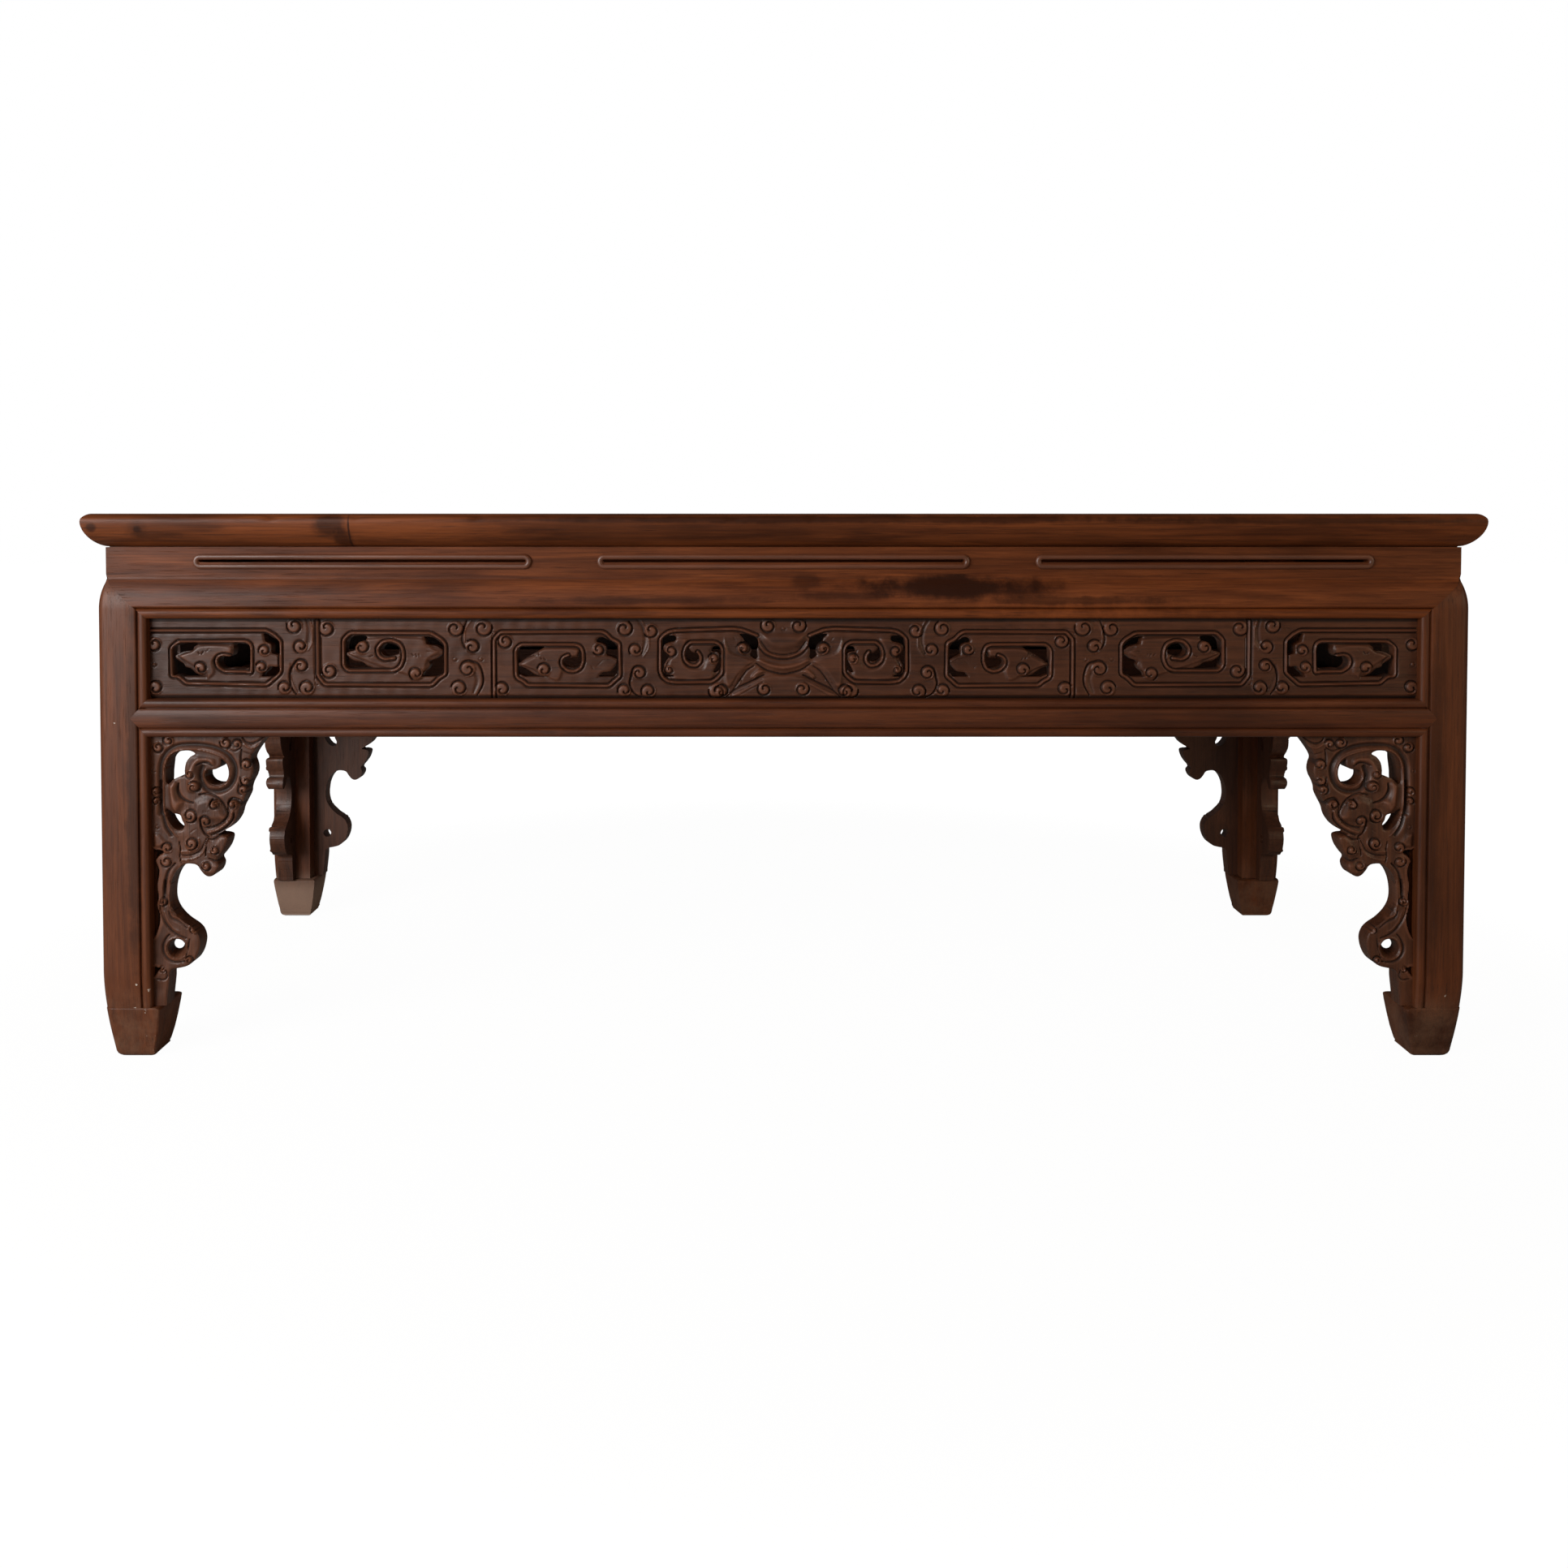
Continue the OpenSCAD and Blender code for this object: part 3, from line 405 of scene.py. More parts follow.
def four_members(kind, section, woods, seed, past_legs=0, stations=(300, 300, 140, 140), at_front=None):
    """The same member on all four sides, each with its own unevenness."""
    for number, (side, turn) in enumerate(sides):
        across = side in ("left", "right")
        dist, half = (half_w, half_d) if across else (half_d, half_w)
        member(f"{kind}_{side}", section(dist), half + past_legs, turn, woods[across],
               seed + number, stations[number], at_front if side == "front" else None)


def top_section(dist):
    """Rounded edge over a moulding that runs in to the underside."""
    out = -(dist + overhang)
    inner = out + top_rail_w
    round_in, round_h = 7, 6
    mould_in, mould_h, mould_top = 17.6, 21.8, z_under + 22.5
    points = [(inner, z_under), (inner, height - 0.3), (inner - 0.3, height)]
    points += [(out + d, height) for d in (50, 30, 15)]
    points += [(out + round_in - round_in * (1 - t ** 1.7) ** 0.62, height - round_h + round_h * t)
               for t in (1, 0.98, 0.93, 0.85, 0.75, 0.6, 0.4, 0.2)]
    points += [(out + mould_in - mould_in * (1 - t ** 1.8) ** 0.6, mould_top - mould_h * t)
               for t in (0, 0.1, 0.2, 0.3, 0.4, 0.5, 0.6, 0.7, 0.8, 0.87, 0.93, 0.97, 0.99, 1)]
    points += [(out + 18.3, z_under + 0.2), (out + 19, z_under), (out + 24, z_under)]
    return [(y - out, y, z) for y, z in points]


def chipped(place):
    """Small chips knocked out of the upper edge of the front member."""
    edge_y, edge_z = -258, height - 1
    for x, size, deep in ((-447, 5, 1.6), (-372, 3, 1.0), (-268, 4, 1.4), (-120, 3, 0.9),
                          (-44, 6, 1.9), (24, 5, 1.6), (101, 6, 1.8), (166, 4, 1.5),
                          (318, 3, 1.0), (405, 4, 1.3), (540, 5, 1.5)):
        near = np.exp(-((place[:, 0] - x) / size) ** 2 - ((place[:, 1] - edge_y) / 5) ** 2
                      - ((place[:, 2] - edge_z) / 4) ** 2)
        place[:, 1] += near * deep * 0.7
        place[:, 2] -= near * deep
    return place


four_members("top_rail", top_section, top_woods, 1, overhang, (420, 300, 150, 150), chipped)


# Top panel
# Two floating boards in the grooves of the frame, on three dovetailed battens,
# and short pins at the corners. Same wood, flatter and more polished.

def coat(finish, *nodes):
    """Gives a finish to CAD nodes that are shown as they are."""
    for node in nodes:
        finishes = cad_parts[node].data.materials
        finishes.clear()
        finishes.append(finish)


coat(hardwood("panel boards", 0, (0.2, 0.056, 0.017), (0.075, 0.018, 0.005), 0.4),
     "top_board_front", "top_board_back")
coat(hardwood("battens and pins", 1, (0.14, 0.05, 0.022), (0.055, 0.017, 0.007), 0.05),
     "batten_left", "batten_middle", "batten_right", "corner_dowels")


# Waist
# Recessed boards between top and apron, pierced by long slots. Each slot has a
# rounded bead worked round it from the solid.

def wood_pair(name, light, dark, marks=(), **look):
    """The same wood with its grain along the table, with any marks, and across it."""
    return (hardwood(name + " long", 0, light, dark, marks=marks, **look),
            hardwood(name + " cross", 1, light, dark, **look))


waist_long, waist_cross = wood_pair("waist", (0.168, 0.0465, 0.0135), (0.06, 0.0145, 0.004), sheen=0.05)
coat(waist_long, "waist_front", "waist_back")
coat(waist_cross, "waist_left", "waist_right")


def bead_nodes():
    """A rounded bead that follows the outline of one slot, thicker at its ends."""
    tree = NodeTree("slot bead", (("Length", "Float"), ("Height", "Float"), ("Bead", "Float"),
                                  ("Centre", "Vector"), ("Finish", "Material")))
    add, maths, given = tree.add, tree.maths, tree.given
    path = add("GeometryNodeCurvePrimitiveQuadrilateral", None,
               {"Width": given["Length"], "Height": given["Height"]})["Curve"]
    half = maths("MULTIPLY", given["Height"], 0.4999)
    round_path = add("GeometryNodeFilletCurve", {"mode": "POLY"},
                     {"Curve": path, "Radius": half, "Count": 8})["Curve"]
    ring = add("GeometryNodeCurvePrimitiveCircle", {"mode": "RADIUS"},
               {"Resolution": 14, "Radius": given["Bead"]})["Curve"]
    from_middle = maths("ABSOLUTE", tree.parts_of(tree.place())["X"])
    past_end = maths("MULTIPLY_ADD", given["Length"], -0.5, from_middle)
    thick = add("ShaderNodeMapRange", {"interpolation_type": "SMOOTHSTEP"},
                {0: past_end, 1: -0.006, 2: -0.001, 3: 1.0, 4: 1.6})[0]
    swelled = add("GeometryNodeSetCurveRadius", None, {"Curve": round_path, "Radius": thick})["Curve"]
    bead = add("GeometryNodeCurveToMesh", None, {"Curve": swelled, "Profile Curve": ring})["Mesh"]
    upright = (math.pi / 2, 0, 0)
    return tree.close(add("GeometryNodeTransform", None, {
        "Geometry": bead, "Translation": given["Centre"], "Rotation": upright})["Geometry"])


slot_bead = bead_nodes()
bead_woods = wood_pair("slot beads", (0.15, 0.044, 0.016), (0.08, 0.022, 0.007), sheen=0.6, gloss=0.6)
bead_in, bead_z = 6.8, (z_waist + z_under - 1.8) / 2
for side, turn in sides:
    across = side in ("left", "right")
    dist, slots = (half_w, ((0, 278),)) if across else (half_d, ((-371, 288), (0, 318), (371, 288)))
    whole = bmesh.new()
    for middle, length in slots:
        whole.from_mesh(baked(slot_bead, "bead", {
            "Length": (length + 5.4) / 1000, "Height": 0.0084, "Bead": 0.0026,
            "Centre": (middle / 1000, -(dist - bead_in) / 1000, bead_z / 1000),
            "Finish": bead_woods[across]}))
    rings = bpy.data.meshes.new("beads")
    whole.to_mesh(rings)
    whole.free()
    rings.transform(quarter_turns(turn))
    outward(rings)
    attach(mesh_piece("slot_beads_" + side, rings, bead_woods[across]), "root")


# Apron
# Convex rails under the waist with a bead along the lower edge, cut at the
# ends to meet the legs on a mitre.

shoulder_in, shoulder_h = 7.0, 32


def inset(z):
    """How far the rounded shoulder lies behind the face at height z."""
    return min(shoulder_in, 8.2 * max(0.0, (z - z_waist + shoulder_h) / 30) ** 2.2)


def set_back(off, z):
    """Where a point lies that was off behind the face, once the shoulder is rounded."""
    return off + inset(z) * max(0.0, 1 - off / 12)


def mitre(z):
    """How far from the corner of the table apron and leg meet at height z."""
    return leg_w * (z_waist - z) / (z_waist - z_apron)


def arc(y, z, ry, rz, start, end, count):
    """Points on an arc, angles in degrees."""
    turns = [math.radians(start + (end - start) * i / count) for i in range(count + 1)]
    return [(y + ry * math.cos(a), z + rz * math.sin(a)) for a in turns]


def apron_section(dist):
    bead, bead_in, apron_t = 4.35, 3.6, 23
    points = arc(-dist + bead_in, z_apron + bead, 3.2, bead, 270, 90, 14)
    points += [(-dist + 3.3, z_apron + 9.0), (-dist + 1.9, z_apron + 9.3), (-dist + 0.7, z_apron + 10)]
    points += [(-dist + inset(z), z) for z in np.linspace(z_apron + 11, z_waist, 22)]
    points += [(-dist + 8, z_waist), (-dist + apron_t, z_waist), (-dist + apron_t, z_apron)]
    return [(max(set_back(mitre(z), z), y + dist), y, z) for y, z in points]


four_members("apron", apron_section, wood_pair("apron", plain_light, (0.06, 0.014, 0.0037), marks=(
    (0.145, 0.42, 0.1, 0.012, 0.95), (0.06, 0.412, 0.05, 0.004, 0.6), (0.02, 0.424, 0.014, 0.008, 0.5),
    (-0.12, 0.408, 0.12, 0.004, 0.5), (0.26, 0.408, 0.1, 0.005, 0.6), (-0.45, 0.405, 0.05, 0.006, 0.4))), 5)


# Lower rails
# Rails with two beads and a convex band between, tenoned into the legs, with a
# pointed shoulder on the outside.

def rail_section(dist):
    bead, bead_in, band_in, rail_t, rail_point = 3.85, 3.4, 1.7, 30, 14.5
    middle, band = (z_knee + z_rail) / 2, (z_rail - z_knee) / 2 - 8.4
    points = arc(-dist + bead_in, z_knee + bead, 3.0, bead, 270, 90, 12)
    points += [(-dist + 3.3, z_knee + 8.1)]
    points += arc(-dist + band_in, middle, band_in, band, 265, 95, 10)
    points += [(-dist + 3.3, z_rail - 8.1)]
    points += arc(-dist + bead_in, z_rail - bead, 3.0, bead, 270, 90, 12)
    points += [(-dist + rail_t, z_rail), (-dist + rail_t, z_knee)]
    return [(leg_w - rail_point * (1 - abs(z - middle) / (middle - z_knee)), y, z) for y, z in points]


four_members("rail", rail_section, wood_pair(
    "rail", (0.112, 0.03, 0.0085), (0.042, 0.0095, 0.0026), worn=0.25, gloss=0.28), 9)


# Legs
# Square legs with a round outer corner and a bead on the inner edges, ending
# in hoof feet with a ledge on the inner sides. One length of wood each.

# the first two marks are painted shade: dark bands beside the inner beads of the two front legs
leg_wood = hardwood("legs", 2, (0.12, 0.0335, 0.0098), (0.06, 0.0155, 0.0044), worn=0.3, gloss=0.27, marks=(
    (-0.5725, 0.235, 0.0075, 0.19, 0.6), (0.5725, 0.235, 0.0075, 0.19, 0.4),
    (0.575, 0.02, 0.035, 0.035, 0.7)), specks=(
    (-0.572, 0.0675, 0.0012, 0.0012, 0.9), (-0.558, 0.072, 0.001, 0.001, 0.9),
    (-0.5615, 0.0625, 0.001, 0.0012, 0.8), (-0.574, 0.047, 0.0012, 0.0012, 0.9),
    (-0.565, 0.0435, 0.001, 0.003, 0.7), (-0.565, 0.02, 0.0022, 0.0016, 0.9),
    (-0.558, 0.0205, 0.0014, 0.0012, 0.9), (-0.5545, 0.027, 0.0022, 0.001, 0.7),
    (-0.5885, 0.3, 0.0008, 0.0008, 0.6), (0.5855, 0.058, 0.0012, 0.0012, 0.9),
    (0.571, 0.036, 0.0016, 0.001, 0.8), (0.562, 0.02, 0.0014, 0.0012, 0.9)))
foot_in, foot_top, edge_r = 9.0, 78, 4.5
sole_middle, sole_half = 31, 21
ledge_short, ledge_r = 1.2, 4
same_point = 0.000005
levels = (0, 0.3, 0.8, 1.6, 2.8, 4.5, 7, *range(10, z_hoof - 4, 4), 43.2, 44.3, 45.2, 45.8, 46.3,
          *range(50, 80, 4), *range(z_waist - shoulder_h, z_waist, 2))


def foot_line(z):
    """How far the outer faces of a foot lie back at height z."""
    return foot_in * max(0.0, 1 - z / foot_top) ** 1.71


def rounding(below, radius):
    """How far a rounded edge lies back, so far below or above where it starts."""
    return radius - math.sqrt(radius ** 2 - min(max(0.0, below), radius) ** 2)


def drawn_in(work, axis, half):
    """Moves the points of a leg along one axis: foot, shoulder, lower edge and ledge."""
    outer_face = [min([8.0] + [half - abs(point.co[axis]) * 1000 for point in work.verts
                               if abs(point.co.z * 1000 - z) < 0.02]) for z in levels]
    for point in work.verts:
        z, off = point.co.z * 1000, half - abs(point.co[axis]) * 1000
        face = np.interp(z, levels, outer_face)
        moved = max(0.0, foot_line(z) - face) * min(1.0, max(0.0, (15 - off + face) / 6))
        moved += set_back(off, z) - off
        moved += rounding(edge_r - z, edge_r) * (sole_middle - off) / sole_half
        if off > leg_w + 0.5 and z < z_hoof + 0.1:
            moved -= ledge_short + rounding(z - z_hoof + ledge_r, ledge_r)
        point.co[axis] -= moved / 1000 * math.copysign(1, point.co[axis])


for node in ("leg_front_left", "leg_front_right", "leg_back_left", "leg_back_right"):
    work = bmesh.new()
    work.from_mesh(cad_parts[node].data)
    bmesh.ops.remove_doubles(work, verts=work.verts, dist=same_point)
    bmesh.ops.dissolve_limit(work, angle_limit=math.radians(1), verts=work.verts, edges=work.edges)
    for z in levels:
        bmesh.ops.bisect_plane(work, geom=work.verts[:] + work.edges[:] + work.faces[:],
                               plane_co=(0, 0, z / 1000), plane_no=(0, 0, 1), dist=0.00002)
    drawn_in(work, 0, half_w)
    drawn_in(work, 1, half_d)
    bmesh.ops.remove_doubles(work, verts=work.verts, dist=same_point)
    work.normal_update()
    for face in work.faces:
        face.smooth = True
    for edge in work.edges:
        edge.smooth = edge.calc_face_angle(0.0) < sharp_edge
    mesh = bpy.data.meshes.new(node)
    work.to_mesh(mesh)
    work.free()
    piece = mesh_piece(node + "_wood", mesh, leg_wood)
    even = piece.modifiers.new("even shading", "WEIGHTED_NORMAL")
    even.keep_sharp = True
    seen_by = bpy.context.evaluated_depsgraph_get()
    shaded = bpy.data.meshes.new_from_object(piece.evaluated_get(seen_by))
    piece.modifiers.clear()
    piece.data = shaded
    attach(piece, "root")
    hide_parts(node)


# Carved friezes
# Pierced panels between apron and rail: hooked scroll frames with a small
# animal head in each, curls between them, all cut from one board and waxed.

def curve(points, steps=6, closed=False):
    """A smooth curve through points."""
    p = np.array(points, float)
    n = len(p)
    out = []
    for i in range(n if closed else n - 1):
        if closed:
            a, b, c, d = p[i - 1], p[i], p[(i + 1) % n], p[(i + 2) % n]
        else:
            a, b, c, d = p[max(i - 1, 0)], p[i], p[i + 1], p[min(i + 2, n - 1)]
        for t in np.arange(steps) / steps:
            out.append(0.5 * (2 * b + (c - a) * t + (2 * a - 5 * b + 4 * c - d) * t * t
                              + (3 * b - a - 3 * c + d) * t ** 3))
    if not closed:
        out.append(p[-1])
    return np.array(out)


def bent(points, radius):
    """Straight lines through points with each corner eased."""
    p = np.array(points, float)
    out = [p[0]]
    for a, b, c in zip(p[:-2], p[1:-1], p[2:]):
        back, on = np.linalg.norm(a - b), np.linalg.norm(c - b)
        start = b + (a - b) * min(radius / back, 0.5)
        end = b + (c - b) * min(radius / on, 0.5)
        for t in (0, 0.25, 0.5, 0.75, 1):
            out.append((1 - t) ** 2 * start + 2 * t * (1 - t) * b + t * t * end)
    out.append(p[-1])
    return np.array(out)


def spiral(x, y, r, at, turn):
    """The groove of a curl on the drawing, winding out from near its middle."""
    t = np.linspace(0, 1, 34)
    angle = np.radians(at - (turn + math.copysign(130, turn)) * (1 - t))
    radius = r * (0.2 + 0.86 * t ** 0.55)
    return np.stack([x + radius * np.cos(angle), y - radius * np.sin(angle)], 1)


def eased(x):
    """0 at 0 and 1 at 1, with no corner at either."""
    x = np.clip(x, 0, 1)
    return x * x * (3 - 2 * x)


class Carving:
    """A board being carved: heights over its face on a fine grid, in mm."""

    def __init__(self, wide, high, step):
        self.u = np.linspace(0, wide, int(round(wide / step)) + 1)
        self.v = np.linspace(0, high, int(round(high / step)) + 1)
        self.rise = np.zeros((len(self.v), len(self.u)))
        far_inside = 9.0  # mm from any edge, before anything is cut
        self.solid = np.full(self.rise.shape, far_inside)
        self.outline = np.full(self.rise.shape, far_inside)

    def near(self, points, margin):
        """The part of the grid round some points."""
        low, high = points.min(0) - margin, points.max(0) + margin
        i = np.searchsorted(self.u, (low[0], high[0]))
        j = np.searchsorted(self.v, (low[1], high[1]))
        here = (slice(j[0], j[1]), slice(i[0], i[1]))
        u, v = np.meshgrid(self.u[here[1]], self.v[here[0]])
        return here, u, v

    def reach(self, u, v, points):
        """Distance to a line and the share of its length at the nearest point."""
        far, along = np.full(u.shape, 1e9), np.zeros(u.shape)
        lengths = np.linalg.norm(np.diff(points, axis=0), axis=1)
        total, gone = max(lengths.sum(), 1e-9), 0.0
        for a, b, length in zip(points[:-1], points[1:], lengths):
            if length < 1e-6:
                continue
            d = (b - a) / length
            t = np.clip((u - a[0]) * d[0] + (v - a[1]) * d[1], 0, length)
            off = np.hypot(u - a[0] - t * d[0], v - a[1] - t * d[1])
            closer = off < far
            far = np.where(closer, off, far)
            along = np.where(closer, (gone + t) / total, along)
            gone += length
        return far, along

    def within(self, u, v, points):
        """Signed distance to a closed outline, positive inside."""
        loop = np.concatenate([points, points[:1]])
        far, _ = self.reach(u, v, loop)
        inside = np.zeros(u.shape, bool)
        for (ax, ay), (bx, by) in zip(loop[:-1], loop[1:]):
            if ay == by:
                continue
            crosses = (ay > v) != (by > v)
            inside ^= crosses & (u < (bx - ax) * (v - ay) / (by - ay) + ax)
        return np.where(inside, far, -far)

    def line(self, points, wide, rise, taper=False):
        """A bead (rise over 0) or a groove along a line."""
        here, u, v = self.near(points, wide + 1)
        if not u.size:
            return
        far, along = self.reach(u, v, points)
        if taper:
            wide = wide * (0.4 + 0.6 * np.sin(np.pi * np.clip(along * 0.9 + 0.08, 0, 1)))
        self.rise[here] += rise * eased(1 - far / wide)

    def rim(self, points):
        """A thin bead with a groove on both sides."""
        here, u, v = self.near(points, 3.5)
        if not u.size:
            return
        bead, bead_h, groove_off, groove, groove_h = 1.05, 0.8, 1.95, 1.0, 1.9
        far, _ = self.reach(u, v, points)
        self.rise[here] += bead_h * eased(1 - far / bead)
        self.rise[here] -= groove_h * eased(1 - np.abs(far - groove_off) / groove)

    def dome(self, u0, v0, r, rise, power=2):
        """A round boss, flatter on top with a higher power."""
        here, u, v = self.near(np.array([[u0, v0]]), r + 1)
        if not u.size:
            return
        far = np.hypot(u - u0, v - v0) / r
        self.rise[here] += rise * np.sqrt(np.clip(1 - far ** power, 0, 1))

    def area(self, points, rise, soft):
        """Raises or sinks the ground inside an outline."""
        here, u, v = self.near(points, 1)
        if not u.size:
            return
        self.rise[here] += rise * eased(self.within(u, v, points) / soft)

    def pierce(self, points):
        """Saws an opening."""
        here, u, v = self.near(points, 6)
        if not u.size:
            return
        self.solid[here] = np.minimum(self.solid[here], -self.within(u, v, points))

    def trim(self, points):
        """Cuts the board itself to an outline."""
        u, v = np.meshgrid(self.u, self.v)
        self.outline = np.minimum(self.outline, self.within(u, v, points))

    def cut(self, drawing, on_board):
        """Carries a drawing out on the board; on_board turns its squares into mm."""
        deeper, softer, wider, larger, corner_r = 1.9, 1.7, 1.15, 1.27, 22
        size = abs(on_board(1, 0)[0] - on_board(0, 0)[0])

        def laid(points):
            return np.array([on_board(x, y) for x, y in points])

        for kind, *what in drawing:
            if kind == "raise":
                self.area(laid(curve(what[0], closed=True)), what[1] * deeper, what[2] * softer)
        for kind, *what in drawing:
            if kind == "rim":
                self.rim(laid(bent(what[0], corner_r)))
            elif kind == "bead":
                self.line(laid(curve(what[0])), what[1], what[2])
            elif kind == "groove":
                self.line(laid(curve(what[0])), what[1] * wider, -what[2], taper=True)
            elif kind == "channel":
                self.line(laid(curve(what[0])), what[1], -what[2])
            elif kind == "dot":
                x, y, r = what
                u, v = on_board(x, y)
                self.dome(u, v, r * size, 0.7)
                self.line(laid(spiral(x, y, r * 1.15, 0, 359)), 0.6, -0.8)
            elif kind == "curl":
                x, y, r, at, turn, *tail = what
                r *= larger
                u, v = on_board(x, y)
                self.dome(u, v, r * size * 1.03, 1.7, 3.2)
                line = spiral(x, y, r, at, turn)
                if tail:
                    line = np.concatenate([line, curve([line[-1], *tail])[1:]])
                self.line(laid(line), 1.6, -2.3, taper=True)
            elif kind == "open":
                self.pierce(laid(curve(what[0], closed=True)))

    def finished(self, seed):
        """Rounds the edges, adds the unevenness of hand work and finds the hollows."""
        waves, wave_h, smooth_over, edge_in, edge_fall = 14, 0.03, 2.2, 1.8, 1.0
        edge = np.minimum(self.solid, self.outline)
        u, v = np.meshgrid(self.u, self.v)
        rng = np.random.default_rng(seed)
        for _ in range(waves):
            fu, fv, phase = rng.uniform(-0.5, 0.5), rng.uniform(-0.5, 0.5), rng.uniform(0, 6.3)
            self.rise += wave_h * np.sin(fu * u + fv * v + phase)
        smooth = self.rise.copy()
        span = max(2, int(round(smooth_over / (self.u[1] - self.u[0]))))
        kernel = np.ones(2 * span + 1) / (2 * span + 1)
        for _ in range(2):
            padded = np.pad(smooth, span, mode="edge")
            rows = np.apply_along_axis(np.convolve, 1, padded, kernel, "valid")
            smooth = np.apply_along_axis(np.convolve, 0, rows, kernel, "valid")
        self.hollow = np.clip(smooth - self.rise, -1, 1.4)
        self.rise -= edge_fall * np.clip(1 - edge / edge_in, 0, 1) ** 2
        return edge

    def shell(self, seed, face, back):
        """The carved board as a closed mesh: corner points (u, depth, v), hollows (with painted shade on
        the walls and back), faces.
        face and back are the depths of its ground and its back."""
        edge = self.finished(seed)
        nv, nu = edge.shape
        total = nv * nu
        keep = edge > 0
        flat = np.arange(total).reshape(nv, nu)
        # points where the outline crosses a grid line, kept a little off the grid points
        across = np.clip(edge[:, :-1] / (edge[:, :-1] - edge[:, 1:] + 1e-12), 0.12, 0.88)
        upward = np.clip(edge[:-1] / (edge[:-1] - edge[1:] + 1e-12), 0.12, 0.88)
        u, v = np.meshgrid(self.u, self.v)

        def between(field, share, axis):
            if axis:
                return (field[:, :-1] + (field[:, 1:] - field[:, :-1]) * share).ravel()
            return (field[:-1] + (field[1:] - field[:-1]) * share).ravel()

        fields = [np.concatenate([f.ravel(), between(f, across, 1), between(f, upward, 0)])
                  for f in (u, v, self.rise, self.hollow)]
        row_start, col_start = total, total + across.size
        c = [flat[:-1, :-1], flat[:-1, 1:], flat[1:, 1:], flat[1:, :-1]]
        on_row = row_start + np.arange(across.size).reshape(nv, nu - 1)
        on_col = col_start + np.arange(upward.size).reshape(nv - 1, nu)
        e = [on_row[:-1], on_col[:, 1:], on_row[1:], on_col[:, :-1]]
        spots = dict(zip("abcdABCD", c + e))
        code = keep[:-1, :-1] + 2 * keep[:-1, 1:] + 4 * keep[1:, 1:] + 8 * keep[1:, :-1]
        shapes = {15: ["abcd"], 1: ["aAD"], 2: ["bBA"], 4: ["cCB"], 8: ["dDC"], 3: ["abBD"], 6: ["bcCA"],
                  12: ["cdDB"], 9: ["daAC"], 7: ["abcCD"], 14: ["bcdDA"], 13: ["cdaAB"], 11: ["dabBC"],
                  5: ["aAD", "cCB"], 10: ["bBA", "dDC"]}
        faces = {3: [], 4: [], 5: []}
        for number, loops in shapes.items():
            at = code == number
            for loop in loops:
                faces[len(loop)].append(np.stack([spots[k][at] for k in loop], 1))
        faces = {n: np.concatenate(f) for n, f in faces.items()}
        used = np.unique(np.concatenate([f.ravel() for f in faces.values()]))
        order = np.full(len(fields[0]), -1)
        order[used] = np.arange(len(used))
        faces = {n: order[f] for n, f in faces.items()}
        u, v, rise, hollow = (f[used] for f in fields)
        n = len(used)
        start = np.concatenate([f.ravel() for f in faces.values()])
        end = np.concatenate([np.roll(f, -1, 1).ravel() for f in faces.values()])
        rim = ~np.isin(start * n + end, end * n + start)
        start, end = start[rim], end[rim]
        ring = np.unique(start)
        place = np.full(n, -1)
        place[ring] = np.arange(len(ring))
        outline = [Vector((float(u[i]), float(v[i]))) for i in ring]
        lines = [(int(place[a]), int(place[b])) for a, b in zip(start, end)]
        points, _, triangles, origin, _, _ = geometry.delaunay_2d_cdt(outline, lines, [], 2, 1e-7)
        back_faces = n + np.array(wood_only(triangles, origin, lines))[:, ::-1]
        walls = np.stack([end, start, n + place[start], n + place[end]], 1)
        corner = np.concatenate([np.stack([u, face - rise, v], 1),
                                 np.stack([u[ring], np.full(len(ring), float(back)), v[ring]], 1)])
        # painted shade: the walls of the openings and the back get a hollow value of 0.3, which darkens
        # them
        hollow = np.concatenate([hollow, np.full(len(ring), 0.3)])
        return corner, hollow, [faces[3], faces[4], faces[5], walls, back_faces]


def wood_only(triangles, origin, lines):
    """Leaves out the triangles that lie in an opening, by spreading from the outlines."""
    solid_side, open_side = set(lines), {(b, a) for a, b in lines}
    both_sides = solid_side | open_side
    triangles = [tuple(origin[k][0] for k in t) for t in triangles if all(origin[k] for k in t)]
    owner = {}
    for number, t in enumerate(triangles):
        for edge in zip(t, t[1:] + t[:1]):
            owner[edge] = number
    marks = {}
    for edge, number in owner.items():
        if edge in both_sides:
            marks[number] = edge in solid_side
    front = list(marks)
    while front:
        number = front.pop()
        t = triangles[number]
        for a, b in zip(t, t[1:] + t[:1]):
            beside = owner.get((b, a))
            if beside is not None and beside not in marks and (a, b) not in both_sides:
                marks[beside] = marks[number]
                front.append(beside)
    return [t for number, t in enumerate(triangles) if marks.get(number)]


def carved_mesh(name, corner, hollow, faces, mirrored):
    """Fills a mesh with corner points in mm and groups of faces."""
    mesh = bpy.data.meshes.new(name)
    faces = [f[:, ::-1] if mirrored else f for f in faces if len(f)]
    loops = np.concatenate([f.ravel() for f in faces])
    sizes = np.concatenate([np.full(len(f), f.shape[1]) for f in faces])
    mesh.vertices.add(len(corner))
    mesh.vertices.foreach_set("co", (corner / 1000).ravel())
    mesh.loops.add(len(loops))
    mesh.loops.foreach_set("vertex_index", loops.astype(np.int32))
    mesh.polygons.add(len(sizes))
    mesh.polygons.foreach_set("loop_start", (np.cumsum(sizes) - sizes).astype(np.int32))
    mesh.attributes.new("hollow", "FLOAT", "POINT").data.foreach_set("value", hollow.astype(np.float32))
    mesh.update(calc_edges=True)
    mesh.validate()
    mesh.shade_smooth()
    mesh.set_sharp_from_angle(angle=math.radians(48))
    return mesh


